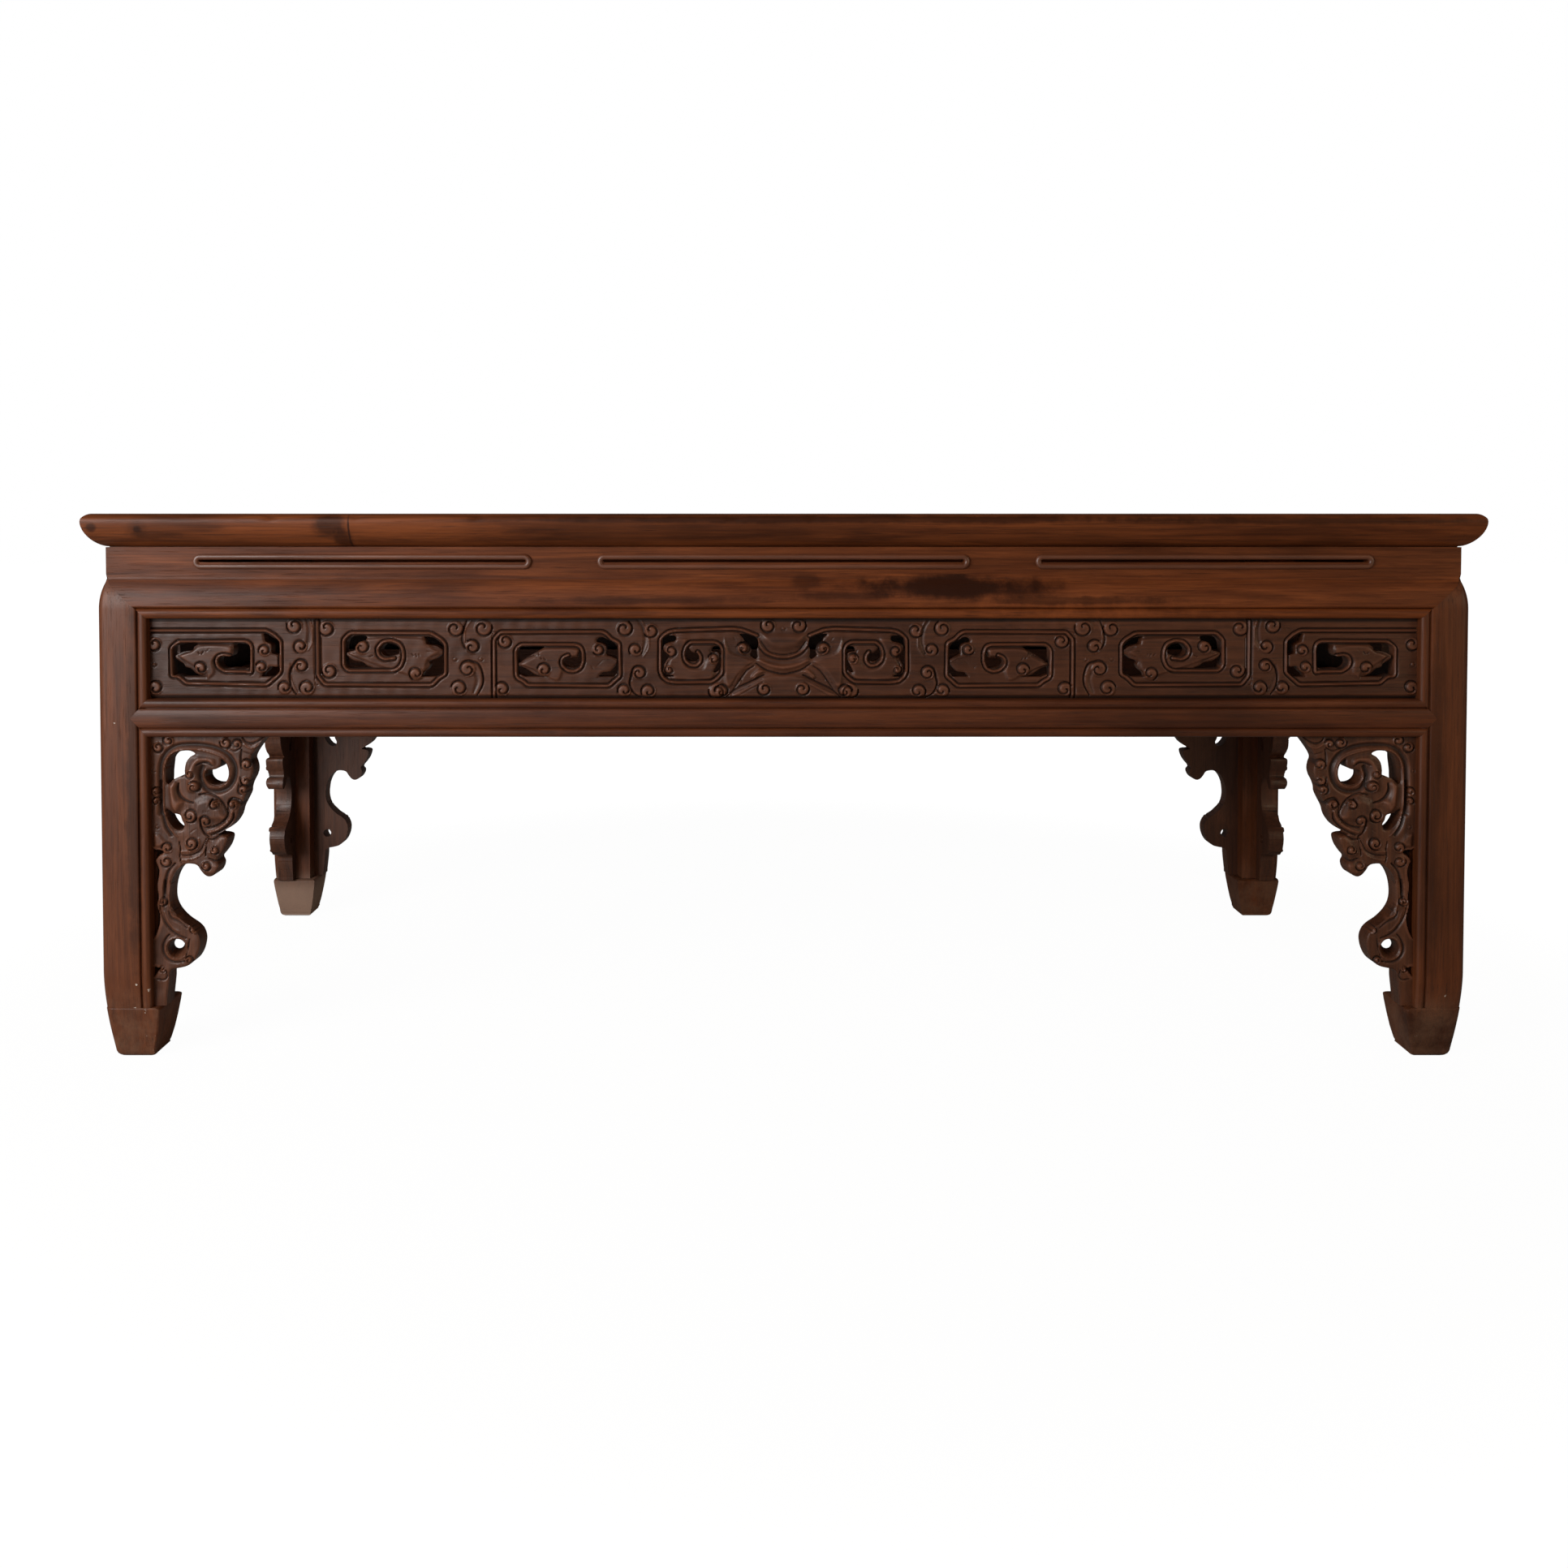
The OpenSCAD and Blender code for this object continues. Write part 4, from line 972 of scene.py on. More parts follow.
# The drawings, each on its own squared sheet, from the left leg to the middle. A raise is an
# area with its rise and softness; a rim, bead, groove or channel runs along points with its
# width and height; a curl or dot has its middle, size and turn; open is sawn right through.
first_frame = [
    ("raise", [(300, 400), (420, 340), (520, 290), (780, 300), (790, 380), (690, 395), (630, 450),
               (640, 560), (560, 620), (540, 560), (430, 500)], 0.7, 1.8),
    ("rim", [(-30, 165), (1110, 165), (1180, 205), (1238, 262), (1238, 550), (1180, 605), (1112, 665),
             (370, 652), (335, 620), (298, 590), (235, 586), (232, 325), (300, 268), (925, 265),
             (962, 292), (972, 340), (968, 556), (920, 545), (720, 542), (660, 500), (642, 445),
             (662, 405), (712, 388), (770, 400)]),
    ("open", [(243, 330), (290, 302), (345, 284), (470, 284), (440, 320), (425, 348), (350, 360),
              (290, 385), (268, 408), (300, 440), (345, 470), (362, 498), (415, 518), (455, 556),
              (505, 580), (545, 588), (545, 628), (400, 628), (368, 606), (320, 582), (285, 570),
              (246, 562)]),
    ("open", [(812, 285), (925, 292), (948, 330), (948, 420), (938, 512), (790, 512), (722, 516),
              (686, 495), (666, 460), (676, 420), (704, 402), (762, 404), (796, 386), (806, 340)]),
    ("open", [(1080, 192), (1112, 195), (1165, 230), (1214, 262), (1224, 300), (1224, 384), (1186, 386),
              (1152, 368), (1150, 300), (1120, 280), (1092, 262), (1086, 225)]),
    ("open", [(1222, 500), (1220, 542), (1178, 590), (1110, 634), (1060, 632), (1056, 592), (1076, 560),
              (1112, 530), (1134, 496), (1190, 498)]),
    ("groove", [(280, 408), (345, 375), (420, 362)], 0.8, 0.8),
    ("groove", [(300, 405), (340, 440), (372, 488)], 0.8, 0.8),
    ("groove", [(486, 366), (500, 382)], 0.7, 1.2), ("groove", [(512, 384), (536, 352)], 0.7, 1.2),
    ("groove", [(556, 360), (590, 330)], 0.5, 0.5), ("curl", 508, 510, 46, 170, 230),
    ("curl", 1092, 348, 42, 200, 250), ("curl", 1062, 502, 42, 190, 220),
    ("curl", 82, 290, 50, 170, -230), ("curl", 86, 692, 50, 150, 215), ("dot", 74, 476, 20),
    ("curl", 1370, 122, 56, 160, -250), ("curl", 1424, 310, 50, 250, 220),
    ("curl", 1428, 492, 48, 150, 295, (1330, 520), (1318, 600), (1335, 690), (1378, 752)),
    ("curl", 1276, 690, 48, 200, 190), ("curl", 1482, 692, 54, 205, 215),
    ("groove", [(1478, 60), (1500, 150), (1492, 260), (1450, 340)], 2.4, 1.0),
    ("bead", [(1508, 60), (1534, 160), (1530, 280), (1486, 352)], 0.8, 0.7),
    ("groove", [(1330, 470), (1345, 600), (1400, 730)], 1.6, 0.6),
]
second_frame = [
    ("raise", [(430, 318), (500, 240), (600, 190), (1000, 190), (1100, 270), (1150, 305), (1060, 370),
               (1040, 440), (990, 515), (700, 430), (560, 380)], 0.7, 1.8),
    ("rim", [(198, 60), (198, 490), (252, 558), (1080, 562), (1125, 515), (1150, 495), (1184, 478),
             (1186, 250), (1160, 212), (1075, 160), (450, 158), (398, 208), (396, 410), (432, 450),
             (790, 450), (838, 418), (862, 360), (860, 290), (836, 240), (770, 214), (704, 224),
             (660, 276), (668, 330), (712, 362), (790, 352)]),
    ("open", [(412, 260), (435, 202), (480, 180), (572, 182), (565, 215), (520, 228), (494, 262),
              (488, 290), (440, 304), (414, 318), (440, 345), (480, 370), (540, 382), (576, 406),
              (612, 430), (440, 430), (414, 400)]),
    ("open", [(684, 292), (706, 254), (750, 238), (800, 248), (828, 276), (828, 318), (790, 328),
              (750, 340), (708, 328)]),
    ("open", [(1020, 186), (1078, 190), (1130, 220), (1160, 252), (1166, 290), (1120, 262), (1060, 250),
              (1036, 240), (1030, 210)]),
    ("open", [(1165, 328), (1165, 466), (1128, 484), (1085, 520), (1002, 524), (1006, 470), (1042, 440),
              (1062, 405), (1056, 376), (1110, 356)]),
    ("groove", [(424, 316), (500, 350), (560, 372)], 0.7, 0.7),
    ("groove", [(430, 300), (490, 322)], 0.7, 0.8), ("groove", [(596, 340), (630, 330)], 0.6, 1.1),
    ("groove", [(926, 318), (942, 336)], 0.6, 1.0), ("groove", [(956, 316), (966, 338)], 0.6, 1.0),
    ("groove", [(982, 318), (990, 336)], 0.6, 0.9),
    ("groove", [(1040, 270), (1110, 272), (1150, 298)], 0.5, 0.5),
    ("groove", [(1040, 300), (1140, 306)], 0.5, 0.5),
    ("groove", [(1050, 352), (1110, 336), (1150, 314)], 0.5, 0.5), ("curl", 546, 266, 44, 160, 270),
    ("curl", 960, 470, 42, 240, 215), ("curl", 290, 450, 46, 170, -290),
    ("curl", 270, 120, 46, 215, -190), ("curl", 1262, 126, 48, 20, 230), ("curl", 1478, 120, 52, 20, 220),
    ("curl", 1394, 266, 44, 130, 250), ("dot", 1260, 360, 15), ("dot", 1460, 360, 15),
    ("curl", 1356, 436, 48, 60, -250, (1440, 400), (1472, 480), (1470, 560), (1428, 640)),
    ("curl", 1290, 586, 48, 170, 250),
    ("groove", [(1352, 60), (1318, 160), (1318, 240), (1366, 306)], 1.2, 1.6),
    ("bead", [(1386, 60), (1340, 130), (1336, 230), (1362, 290)], 0.8, 0.6),
    ("groove", [(1400, 440), (1430, 520), (1400, 620)], 2.4, 0.8),
    ("groove", [(172, 60), (172, 500), (200, 560)], 0.8, 0.9),
    ("groove", [(228, 190), (228, 480)], 0.7, 0.8),
]
third_frame = [
    ("raise", [(430, 455), (560, 370), (640, 308), (930, 310), (940, 390), (840, 400), (800, 440),
               (820, 500), (780, 600), (690, 590), (560, 520)], 0.7, 1.8),
    ("rim", [(205, 760), (205, 236), (262, 172), (1160, 168), (1200, 192), (1240, 236), (1306, 268),
             (1312, 560), (1272, 592), (1215, 645), (500, 640), (466, 606), (414, 580), (398, 552),
             (396, 328), (442, 282), (925, 283), (968, 302), (986, 350), (988, 430), (964, 490),
             (910, 518), (850, 510), (806, 470), (796, 430), (816, 394), (858, 376)]),
    ("open", [(412, 330), (442, 304), (615, 298), (642, 306), (570, 352), (480, 402), (436, 440),
              (416, 430)]),
    ("open", [(420, 472), (470, 482), (520, 512), (572, 546), (640, 562), (682, 568), (686, 592),
              (520, 596), (500, 576), (440, 548), (416, 538)]),
    ("open", [(905, 396), (938, 394), (950, 350), (966, 362), (970, 420), (944, 480), (880, 484),
              (832, 470), (812, 440), (822, 410), (850, 398)]),
    ("open", [(1105, 236), (1150, 214), (1202, 236), (1280, 290), (1286, 400), (1240, 390), (1190, 368),
              (1186, 300), (1150, 270), (1110, 262)]),
    ("open", [(1286, 446), (1286, 530), (1215, 590), (1125, 596), (1122, 562), (1160, 524), (1230, 512)]),
    ("groove", [(430, 432), (480, 402), (552, 376)], 0.7, 1.1),
    ("groove", [(430, 462), (520, 490), (590, 530)], 0.7, 0.7),
    ("groove", [(594, 356), (606, 380)], 0.6, 1.1), ("groove", [(612, 392), (626, 408)], 0.7, 1.2),
    ("groove", [(642, 396), (660, 414)], 0.6, 1.1), ("groove", [(560, 372), (590, 392)], 0.5, 0.7),
    ("groove", [(1060, 470), (1075, 492)], 0.5, 0.8),
    ("groove", [(1110, 470), (1180, 410), (1270, 436)], 0.5, 0.5),
    ("bead", [(1090, 386), (1160, 382), (1230, 400), (1274, 432)], 0.8, 0.5),
    ("curl", 648, 500, 46, 170, 240), ("curl", 308, 252, 50, 150, -290), ("curl", 276, 674, 50, 150, 210),
    ("curl", 1124, 322, 40, 210, -250), ("curl", 1350, 142, 54, 60, 265),
    ("curl", 1450, 325, 46, 220, 210),
    ("curl", 1480, 530, 48, 150, 295, (1408, 560), (1396, 630), (1430, 705), (1500, 752)),
    ("curl", 1350, 682, 46, 200, 190), ("curl", 1562, 690, 50, 205, 215),
    ("groove", [(1470, 70), (1520, 150), (1530, 260), (1500, 360)], 2.2, 0.9),
    ("bead", [(1500, 70), (1556, 180), (1566, 300), (1516, 388)], 0.8, 0.7),
    ("groove", [(186, 760), (186, 230), (230, 170)], 0.8, 0.9),
    ("groove", [(228, 740), (228, 330)], 0.7, 0.8),
]
fourth_frame = [
    ("raise", [(400, 330), (520, 250), (640, 260), (620, 360), (600, 440), (640, 540), (780, 560),
               (820, 480), (930, 400), (980, 460), (930, 600), (860, 690), (520, 690), (420, 600),
               (440, 460)], 0.6, 1.8),
    ("rim", [(1340, 235), (1200, 178), (1100, 165), (520, 182), (452, 195), (400, 228), (360, 274),
             (358, 600), (386, 658), (436, 700), (520, 712), (880, 708), (936, 672), (988, 616),
             (990, 372), (970, 330), (920, 302), (668, 302), (622, 342), (598, 420), (612, 490),
             (664, 536), (728, 542), (770, 500), (772, 444), (742, 404)]),
    ("open", [(376, 290), (400, 252), (450, 232), (514, 240), (510, 290), (440, 310), (398, 332),
              (392, 380), (436, 420), (452, 440), (404, 520), (392, 572), (374, 560)]),
    ("open", [(398, 612), (440, 628), (492, 640), (500, 680), (430, 672), (396, 642)]),
    ("open", [(614, 430), (626, 386), (650, 366), (682, 400), (734, 416), (750, 450), (740, 488),
              (700, 500), (650, 490), (622, 465)]),
    ("open", [(902, 344), (955, 350), (972, 382), (972, 424), (940, 402), (880, 392)]),
    ("open", [(972, 480), (972, 560), (930, 606), (900, 600), (930, 540), (950, 490)]),
    ("groove", [(860, 380), (880, 430), (862, 480)], 0.9, 1.2),
    ("groove", [(1130, 350), (1170, 320), (1190, 280)], 0.8, 0.9),
    ("groove", [(420, 560), (440, 500), (500, 450)], 0.7, 0.7),
    ("bead", [(404, 560), (430, 500), (500, 440)], 0.7, 0.6), ("curl", 468, 390, 50, 190, -270),
    ("curl", 452, 582, 34, 150, -220), ("curl", 905, 470, 44, 160, 220),
    ("curl", 1200, 362, 46, 150, 240), ("curl", 266, 182, 56, 215, -200),
    ("curl", 990, 800, 54, 170, 230), ("groove", [(340, 300), (338, 600), (372, 680)], 0.7, 0.7),
    ("groove", [(1168, 700), (1190, 650)], 0.5, 0.5), ("groove", [(1180, 720), (1200, 660)], 0.5, 0.5),
]
middle_motif = [
    ("raise", [(-60, 165), (350, 165), (388, 215), (372, 270), (312, 325), (240, 348), (180, 354),
               (60, 340), (-40, 280)], 1.6, 4.5),
    ("raise", [(0, 430), (180, 440), (300, 420), (380, 394), (416, 412), (402, 442), (320, 492),
               (220, 520), (100, 524), (0, 505)], 1.4, 3.0),
    ("raise", [(426, 430), (500, 382), (640, 330), (700, 200), (720, 420), (700, 640), (640, 660),
               (570, 560), (500, 490)], 0.8, 2.0),
    ("raise", [(-40, 600), (180, 535), (350, 545), (480, 610), (640, 700), (690, 760),
               (-40, 770)], 0.9, 2.5),
    ("bead", [(398, 200), (396, 262), (352, 330), (262, 378), (180, 392), (60, 380)], 0.9, 0.9),
    ("groove", [(400, 300), (340, 366), (262, 402), (180, 412), (60, 402)], 1.2, 1.6),
    ("groove", [(378, 250), (310, 338), (240, 362), (180, 368), (60, 356)], 0.9, 1.3),
    ("groove", [(420, 445), (330, 505), (220, 536), (180, 540), (60, 530)], 1.1, 1.7),
    ("bead", [(425, 432), (470, 470), (540, 510), (600, 610)], 0.8, 0.6),
    ("groove", [(440, 470), (500, 510), (560, 590), (620, 680)], 1.0, 1.4),
    ("groove", [(350, 548), (480, 612), (600, 672), (690, 750)], 0.9, 1.5),
    ("groove", [(360, 580), (480, 645), (600, 700), (660, 750)], 0.6, 0.8),
    ("groove", [(360, 610), (470, 670), (580, 730)], 0.6, 0.8),
    ("raise", [(330, 515), (400, 488), (470, 556), (440, 592), (380, 552)], 0.9, 1.5),
    ("groove", [(350, 520), (420, 550), (460, 585)], 0.5, 0.8),
    ("open", [(408, 232), (460, 200), (520, 186), (566, 190), (536, 226), (520, 256), (484, 282),
              (462, 330), (474, 372), (450, 396), (426, 408), (408, 392), (412, 330), (400, 284)]),
    ("curl", 46, 116, 52, 150, -240), ("curl", 312, 116, 50, 30, 240), ("dot", 180, 140, 16),
    ("curl", 520, 318, 44, 60, -190), ("curl", 345, 672, 46, 30, 250), ("curl", 50, 672, 46, 150, -250),
    ("curl", 762, 692, 56, 10, 230), ("groove", [(100, 620), (150, 610), (140, 580)], 0.6, 0.9),
    ("groove", [(620, 215), (596, 250)], 0.6, 0.7),
]


drawing_top = 76.1


def sheet(left, size, way=1):
    """Places a drawing with squares of size mm, left mm from the leg; way -1 mirrors it."""
    return lambda x, y: (left + way * x * size, drawing_top - y * size)


sheets = [(first_frame, sheet(-3.5, 0.0961)), (second_frame, sheet(125.7, 0.1144)),
          (third_frame, sheet(283.5, 0.1007)), (fourth_frame, sheet(419.9, 0.08695))]
carved_woods = wood_pair("carved frieze", (0.084, 0.0275, 0.0115), (0.034, 0.0102, 0.0042),
                         sheen=0.25, worn=0.3, carved=True, gloss=0.33)
frieze_face, frieze_back, frieze_h = 9, 21, z_apron - z_rail


def carving_step(mm):
    """How fine the grid of a carving is."""
    return mm


def half_frieze(length, step, drawings, seed):
    """One half of a frieze: a whole strip along the rail, painted shadow along both edges."""
    strip, slope, slope_h = 19.3, 2.5, 4.0
    board = Carving(length, frieze_h, step)
    for drawing, on_board in drawings:
        board.cut(drawing, on_board)
    up = board.v[:, None]
    board.solid = np.maximum(board.solid, strip - up)
    board.rise -= slope * np.clip(1 - up / slope_h, 0, 1) ** 1.5
    corner, hollow, faces = board.shell(seed, frieze_face, frieze_back)
    up = corner[:, 2]
    # painted shadow: the hollow value is raised along the top edge, under the apron bead, and along the
    # bottom edge, above the rail
    edge_shadow = np.clip((up - frieze_h + 3.6) / 1.4, 0, 1) + np.clip((3.4 - up) / 1.6, 0, 1)
    return corner, hollow + 1.8 * edge_shadow, faces


def hang_frieze(side, turn, carved):
    """Sets a carved half and its mirror image under the apron on one side."""
    across = side in ("left", "right")
    dist, half = (half_w, half_d) if across else (half_d, half_w)
    corner, hollow, faces = carved
    for end, sign in (("first", -1), ("second", 1)):
        x, y = sign * (half - leg_w - corner[:, 0]), -dist + corner[:, 1]
        for _ in range(turn):
            x, y = -y, x
        placed = np.stack([x, y, z_rail + corner[:, 2]], 1)
        mesh = carved_mesh("frieze", placed, hollow, faces, sign > 0)
        piece = mesh_piece(f"frieze_{side}_{end}_half", mesh, carved_woods[across])
        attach(piece, "root")
        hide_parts("frieze_" + side)


long_half, cross_half = half_w - leg_w, half_d - leg_w
middle_size, past_middle = 0.1007, 18.1
long_drawings = sheets + [(middle_motif, sheet(long_half + past_middle, middle_size, -1))]
cross_drawings = [sheets[0], (middle_motif, sheet(cross_half + past_middle, middle_size, -1))]
front_carved = half_frieze(long_half, carving_step(0.72), long_drawings, 1)
back_carved = half_frieze(long_half, 1.1, long_drawings, 2)
cross_carved = half_frieze(cross_half, 1.0, cross_drawings, 3)
for (side, turn), carved in zip(sides, (front_carved, back_carved, cross_carved, cross_carved)):
    hang_frieze(side, turn, carved)


# Spandrels
# Eight pierced brackets in the corners under the rail, running down to the
# feet: an oval window with a trunk, curls, lobed leaves and a ring at the foot.

def bracket_sheet(left, top, enlarged):
    """A part of the bracket drawing, laid out over a cut of the photo that starts at left,
    top and is enlarged: its squares in mm from the leg and below the rail."""
    leg_px, rail_px, mm_across, mm_down, lean, raised = 186, 903.1, 0.7204, 0.7257, 0.0124, 2.7

    def on_board(x, y):
        down = mm_down * (top + y / enlarged - rail_px)
        return mm_across * (left + x / enlarged - leg_px) - lean * down, down - raised
    return on_board


bracket_edge = [
    (102, 0), (98, 4), (93.5, 10), (89.5, 16), (87.6, 21), (89, 25.5), (89.8, 31), (88.6, 36.5),
    (85.8, 42), (84, 47), (83.4, 52), (80.6, 58), (77, 65), (74.8, 72.5), (70, 79.6), (64, 84.4),
    (58, 88), (63.4, 89), (66.8, 91.2), (65, 98.6), (61, 105), (57, 110.2), (58.6, 114.8), (57.8, 119.4),
    (55, 123.6), (50.4, 125.6), (46.4, 124.4), (42.8, 120.6), (39.6, 115.8), (35, 114.2), (29, 114.4),
    (23, 118), (18.4, 124.4), (15.4, 133.4), (14.4, 144), (16, 152.4), (20.6, 160), (27.2, 166.4),
    (34.2, 171.2), (38.6, 176), (40.9, 182.6), (40.4, 189.6), (38.2, 196.4), (34.6, 202), (29.6, 205.6),
    (23, 207.4), (17, 208.6), (13.4, 212), (13, 218), (12.4, 224), (11.6, 231), (11, 236), (10.6, 241.3),
]
window = [
    ("open", [(238, 620), (234, 520), (240, 420), (275, 330), (340, 275), (420, 250), (520, 246),
              (588, 282), (530, 320), (480, 385), (462, 470), (458, 545), (400, 560), (330, 592),
              (270, 645)]),
    ("open", [(900, 345), (960, 400), (990, 480), (988, 560), (958, 618), (900, 652), (830, 656),
              (765, 632), (722, 585), (710, 530), (726, 490), (765, 472), (800, 474), (850, 462),
              (888, 430), (898, 385)]),
    ("raise", [(590, 290), (700, 288), (800, 310), (850, 350), (850, 420), (800, 440), (740, 405),
               (690, 410), (650, 450), (650, 540), (700, 640), (600, 760), (480, 740), (460, 560),
               (480, 420)], 1.6, 4.0),
    ("raise", [(250, 680), (290, 618), (350, 590), (388, 640), (384, 720), (410, 800), (470, 860),
               (420, 980), (340, 1000), (270, 900)], 1.6, 3.5),
    ("raise", [(560, 870), (640, 800), (760, 780), (880, 850), (960, 960), (980, 1100),
               (560, 1100)], 1.2, 4.0),
    ("bead", [(214, 1000), (212, 560), (224, 430), (264, 325), (340, 258), (440, 234), (600, 230),
              (720, 250), (830, 282), (915, 320), (985, 390), (1014, 480), (1006, 575), (962, 645),
              (880, 684), (800, 676), (738, 636), (698, 572), (698, 512), (716, 482)], 1.0, 0.9),
    ("channel", [(168, 1000), (166, 560), (178, 400), (240, 272), (340, 200), (470, 174), (700, 180),
                 (860, 220), (985, 292), (1060, 400), (1076, 505), (1050, 612), (980, 700), (860, 742),
                 (735, 715), (668, 620), (655, 520), (680, 440)], 3.3, 2.4),
    ("groove", [(610, 420), (670, 395), (740, 390), (800, 430)], 1.2, 1.4),
    ("groove", [(390, 640), (384, 720), (420, 800), (490, 850), (570, 872)], 1.8, 2.2),
    ("groove", [(640, 775), (740, 760), (850, 800), (930, 880), (985, 1000)], 1.3, 1.8),
    ("groove", [(1160, 84), (1200, 140), (1270, 160), (1350, 130), (1425, 70)], 1.3, 1.6),
    ("bead", [(1180, 172), (1260, 214), (1350, 182), (1430, 84)], 1.1, 0.9),
    ("groove", [(1150, 230), (1140, 340), (1150, 460)], 1.2, 1.5),
    ("groove", [(930, 200), (1060, 250), (1140, 210)], 1.0, 1.2),
    ("groove", [(1180, 260), (1300, 300)], 0.8, 1.0),
    ("groove", [(1120, 640), (1110, 740), (1150, 780)], 1.1, 1.4),
    ("groove", [(1130, 560), (1150, 650)], 1.0, 1.2), ("curl", 270, 122, 52, 60, -260),
    ("curl", 150, 205, 50, 170, -250), ("dot", 95, 485, 20), ("curl", 122, 735, 38, 150, 200),
    ("curl", 122, 855, 36, 60, -200), ("curl", 535, 525, 42, 170, -250), ("curl", 592, 682, 56, 150, 300),
    ("curl", 964, 152, 56, 170, -280), ("curl", 1095, 165, 44, 20, -230),
    ("curl", 1214, 412, 50, 150, 170), ("curl", 1204, 614, 44, 170, -190),
    ("curl", 1180, 714, 42, 150, 200), ("curl", 845, 885, 50, 120, -230),
    ("curl", 1052, 878, 46, 60, -220, (1150, 860), (1160, 980)),
    ("groove", [(700, 960), (706, 1000)], 0.4, 0.5), ("groove", [(730, 960), (738, 1000)], 0.4, 0.5),
    ("groove", [(760, 960), (772, 1000)], 0.4, 0.5), ("groove", [(520, 390), (560, 350)], 0.5, 0.5),
    ("groove", [(560, 360), (620, 330)], 0.5, 0.5),
]
lobes = [
    ("open", [(292, 200), (350, 222), (402, 262), (500, 292), (532, 372), (562, 430), (546, 502),
              (498, 520), (430, 500), (362, 430), (312, 340), (290, 262)]),
    ("bead", [(265, -200), (268, 60), (276, 200), (292, 330), (332, 442), (400, 540),
              (470, 610)], 0.9, 0.8),
    ("channel", [(216, -200), (220, 60), (236, 220), (262, 350), (300, 470), (372, 580)], 2.6, 2.2),
    ("curl", 660, 295, 82, 240, -330),
    ("curl", 890, 385, 64, 150, 165, (812, 400), (820, 480), (862, 560), (930, 612)),
    ("curl", 1030, 135, 56, 60, -210),
    ("curl", 1290, 140, 58, 60, -200, (1400, 120), (1430, 230), (1410, 330)),
    ("bead", [(1288, 232), (1250, 345), (1160, 440), (1045, 508), (930, 542)], 1.8, 1.6),
    ("groove", [(1216, 180), (1210, 300), (1130, 400), (1010, 460), (900, 470)], 1.3, 1.8),
    ("groove", [(1304, 260), (1290, 350), (1200, 462), (1080, 540), (960, 590)], 1.2, 1.8),
    ("dot", 1190, 375, 20), ("dot", 165, 465, 28),
    ("raise", [(1010, 640), (1160, 530), (1300, 540), (1320, 600), (1240, 780), (1130, 900), (1000, 930),
               (900, 860), (950, 760)], 1.0, 3.5),
    ("raise", [(800, 1000), (900, 950), (1060, 970), (1180, 920), (1190, 980), (1100, 1150), (960, 1200),
               (840, 1130)], 1.0, 3.0),
    ("groove", [(900, 640), (1000, 650), (1100, 590), (1170, 530)], 1.0, 1.6),
    ("curl", 1030, 800, 54, 200, -260), ("curl", 905, 1038, 56, 200, -260),
    ("groove", [(930, 930), (1050, 970), (1160, 890)], 1.0, 1.8),
    ("groove", [(930, 640), (890, 780), (880, 900)], 1.0, 1.6), ("curl", 672, 712, 74, 250, -300),
    ("bead", [(510, 832), (650, 832), (745, 795), (795, 720), (782, 640)], 1.0, 1.0),
    ("groove", [(510, 880), (660, 884), (790, 830), (850, 740), (900, 640)], 0.9, 1.5),
    ("bead", [(540, 962), (690, 940), (810, 880), (880, 780), (936, 650)], 1.0, 0.9),
    ("groove", [(490, 680), (510, 800), (500, 900), (520, 1000)], 0.9, 1.5),
    ("curl", 320, 775, 62, 190, 200), ("curl", 308, 980, 66, 170, -240),
    ("groove", [(430, 1010), (335, 1120), (285, 1300), (262, 1480), (268, 1620)], 1.9, 1.9),
    ("bead", [(515, 1040), (420, 1180), (362, 1350), (342, 1500), (346, 1650)], 0.9, 0.8),
    ("groove", [(520, 1100), (440, 1250), (400, 1400), (392, 1560), (400, 1650)], 1.0, 1.0),
    ("raise", [(100, 560), (200, 540), (300, 640), (360, 700), (300, 760), (200, 790),
               (110, 760)], 0.9, 2.5),
    ("groove", [(650, 560), (700, 520), (740, 500)], 0.6, 0.7),
    ("groove", [(560, 120), (580, 180)], 0.4, 0.4), ("groove", [(900, 120), (912, 200)], 0.4, 0.4),
    ("groove", [(930, 110), (942, 200)], 0.4, 0.4),
    ("raise", [(40, 770), (130, 796), (240, 812), (262, 862), (180, 920), (120, 1000),
               (40, 1010)], -5.0, 1.6),
]
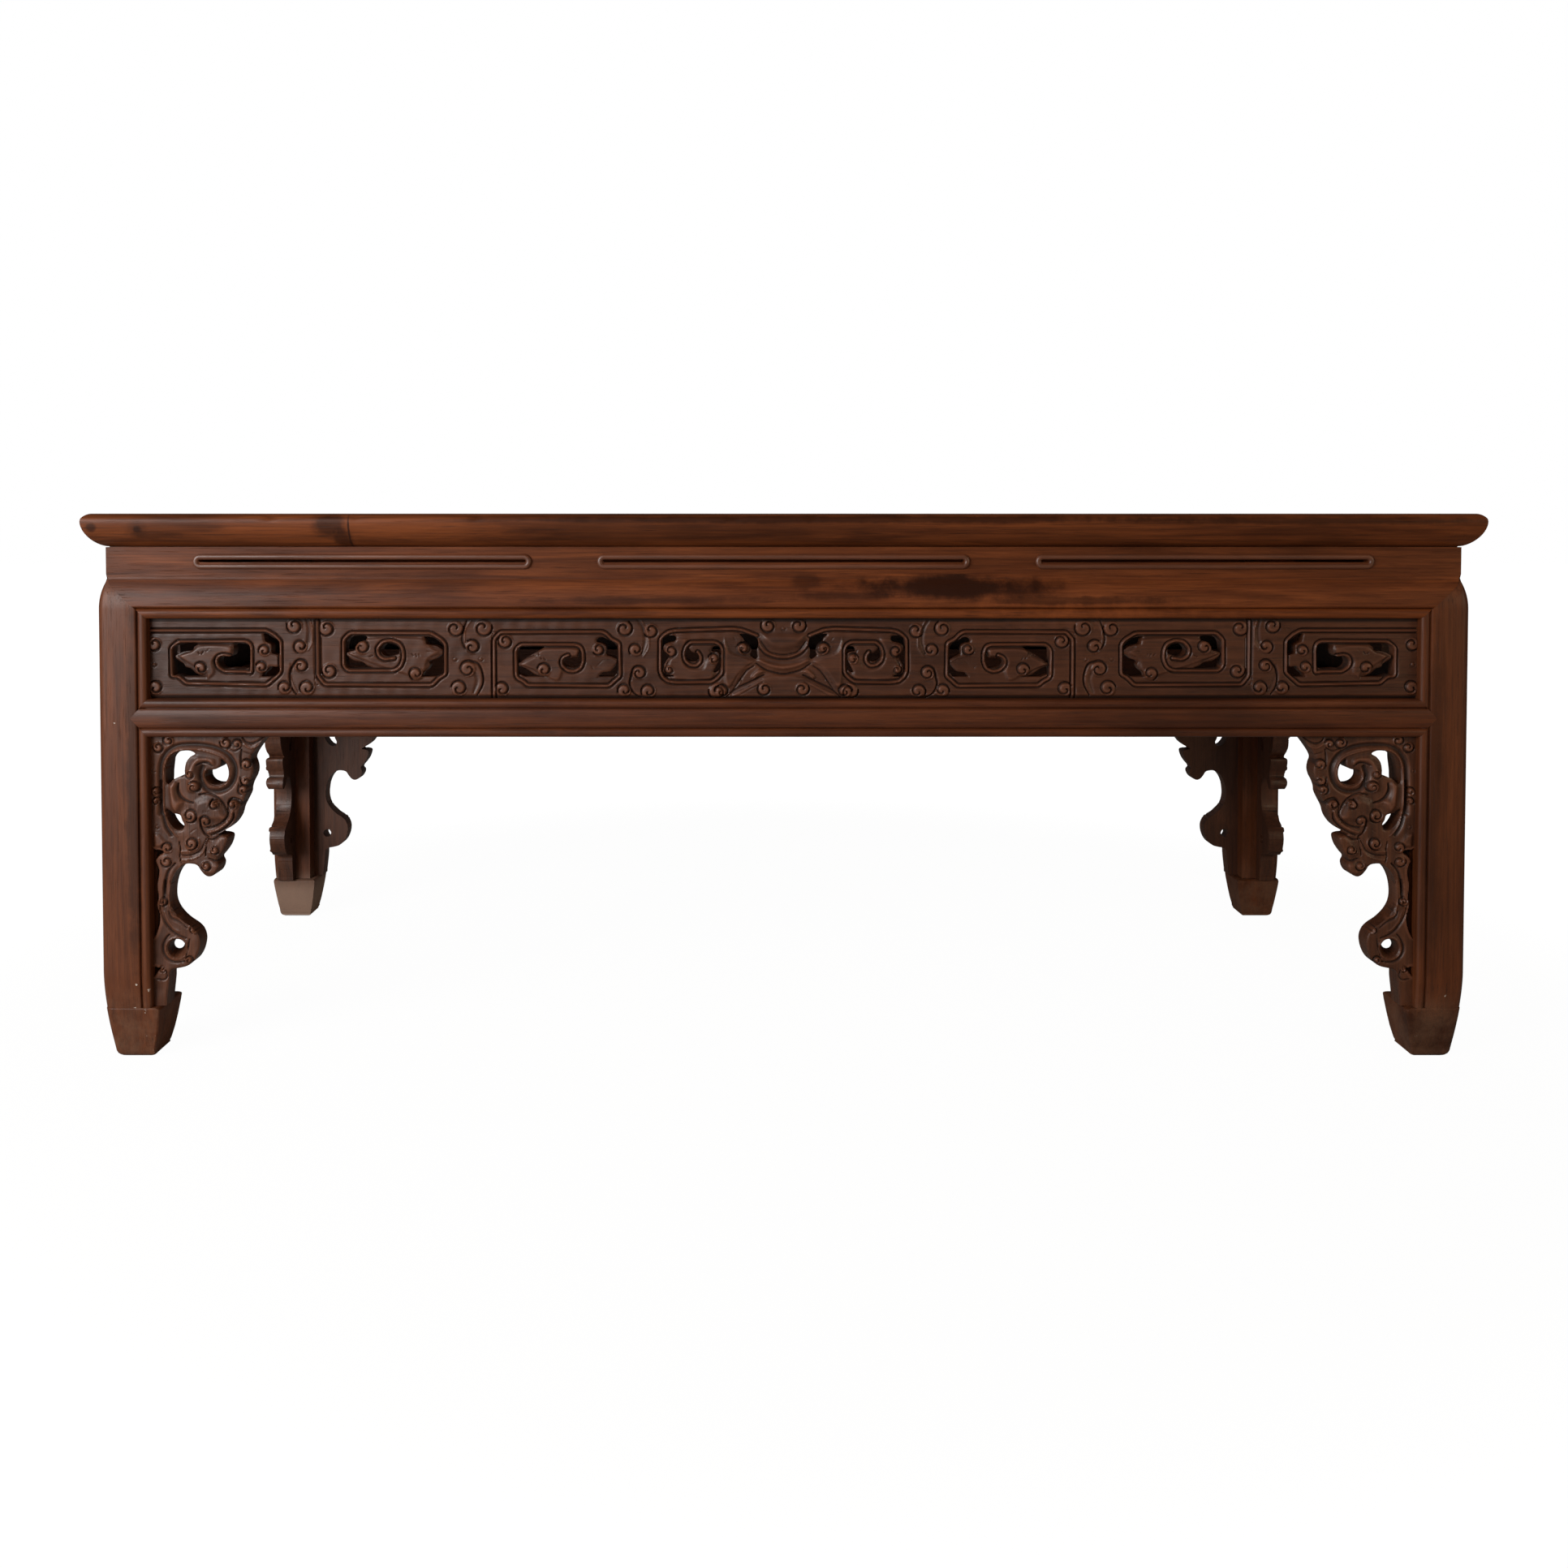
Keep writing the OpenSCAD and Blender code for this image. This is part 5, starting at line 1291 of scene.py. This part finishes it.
foot_scroll = [
    ("open", [(515, 820), (497, 880), (455, 924), (395, 940), (335, 924), (293, 880), (275, 820),
              (293, 760), (335, 716), (395, 700), (455, 716), (497, 760)]),
    ("bead", [(535, 820), (516, 890), (465, 941), (395, 960), (325, 941), (274, 890), (255, 820),
              (274, 750), (325, 699), (395, 680), (465, 699), (516, 750), (535, 820)], 0.9, 0.9),
    ("groove", [(300, 640), (250, 700), (215, 800), (235, 900), (300, 975), (395, 1000),
                (500, 985)], 1.6, 1.6),
    ("groove", [(560, 700), (540, 820), (520, 900)], 1.3, 1.3), ("curl", 220, 215, 44, 250, -260),
    ("groove", [(175, 260), (200, 400), (300, 560), (400, 640), (520, 690)], 1.4, 1.6),
    ("bead", [(236, 340), (290, 470), (360, 560), (430, 600)], 0.9, 0.7),
    ("bead", [(310, 270), (330, 380), (430, 432), (550, 505), (592, 600), (640, 630)], 0.9, 0.9),
    ("groove", [(290, 340), (330, 430), (430, 480), (530, 560)], 1.4, 1.3),
    ("groove", [(345, 330), (450, 385), (590, 480), (660, 590)], 1.1, 1.5),
    ("curl", 620, 575, 40, 250, 200), ("curl", 560, 972, 38, 150, 250),
    ("groove", [(240, -60), (240, 60), (250, 150)], 1.8, 1.6),
    ("bead", [(302, -60), (300, 100), (310, 260)], 0.9, 0.7),
    ("groove", [(350, -60), (352, 120), (400, 280), (500, 360)], 1.0, 1.0),
    ("raise", [(60, -300), (170, -200), (150, 0), (165, 160), (150, 260), (185, 420), (165, 560),
               (110, 680), (40, 700)], -5.0, 1.6),
    ("raise", [(40, 1060), (180, 1075), (150, 1130), (110, 1180), (40, 1230)], -5.0, 1.2),
    ("curl", 215, 1085, 30, 300, 200),
    ("groove", [(255, 1100), (272, 1180), (230, 1225), (130, 1210)], 1.0, 1.4),
]
bracket_wood = hardwood("carved brackets", 2, (0.095, 0.031, 0.0125), (0.04, 0.012, 0.0048),
                        sheen=0.25, worn=0.35, carved=True, gloss=0.38)
bracket_face, bracket_back, front_w, side_w = 9, 27, 102, 68
ring_middle, ring_r, ring_moved, ring_share = np.array([20.5, 189.9]), 11, (-4.6, 0.4), 0.56
cut_edge = curve(bracket_edge, 4)
start, end, past, below = cut_edge[0][0] + 1, cut_edge[-1][0], -5, 250
board_edge = np.concatenate([[[past, past], [start, past]], cut_edge, [[end, below], [past, below]]])


def carved_bracket(step, seed):
    """One spandrel at the front, its ring hole narrower at the back."""
    bracket = Carving(front_w + 2, z_knee - z_hoof, step)
    bracket.trim(board_edge)
    bracket.cut(window, bracket_sheet(180, 900, 9.8))
    bracket.cut(lobes, bracket_sheet(180, 980, 12.06))
    bracket.cut(foot_scroll, bracket_sheet(180, 1090, 10.45))
    corner, hollow, faces = bracket.shell(seed, bracket_face, bracket_back)
    away = corner[:, [0, 2]] - ring_middle
    cone = (corner[:, 1] > bracket_back - 1) & (np.hypot(*away.T) < ring_r)
    corner[cone, 0], corner[cone, 2] = (ring_middle + ring_moved + ring_share * away[cone]).T
    return corner, hollow, faces


def narrowed(points, share):
    """Draws the upper part of a bracket in towards the leg; the lower part stays."""
    change_from, change_h = 105, 45
    lower = np.clip((points[:, 2] - change_from) / change_h, 0, 1)
    points[:, 0] *= share + (1 - share) * lower
    return points


fine_bracket = carved_bracket(carving_step(0.75), 5)
plain_bracket = carved_bracket(carving_step(1.0), 6)
for name, right, back, swapped in (
        ("front_left", 0, 0, 0), ("front_right", 1, 0, 0), ("back_left", 0, 1, 0), ("back_right", 1, 1, 0),
        ("left_front", 0, 0, 1), ("left_back", 0, 1, 1), ("right_front", 1, 0, 1), ("right_back", 1, 1, 1)):
    corner, hollow, faces = plain_bracket if swapped or back else fine_bracket
    if swapped:
        corner = narrowed(corner.copy(), side_w / front_w)
    out, deep, down = corner[:, 0] + leg_w, corner[:, 1], corner[:, 2]
    x, y = (deep, out) if swapped else (out, deep)
    x = (half_w - x) if right else (x - half_w)
    y = (half_d - y) if back else (y - half_d)
    turned = (right + back + swapped) % 2 == 0
    mesh = carved_mesh("spandrel", np.stack([x, y, z_knee - down], 1), hollow, faces, turned)
    piece = mesh_piece(f"spandrel_{name}_carved", mesh, bracket_wood)
    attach(piece, "root")
    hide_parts("spandrel_" + name)
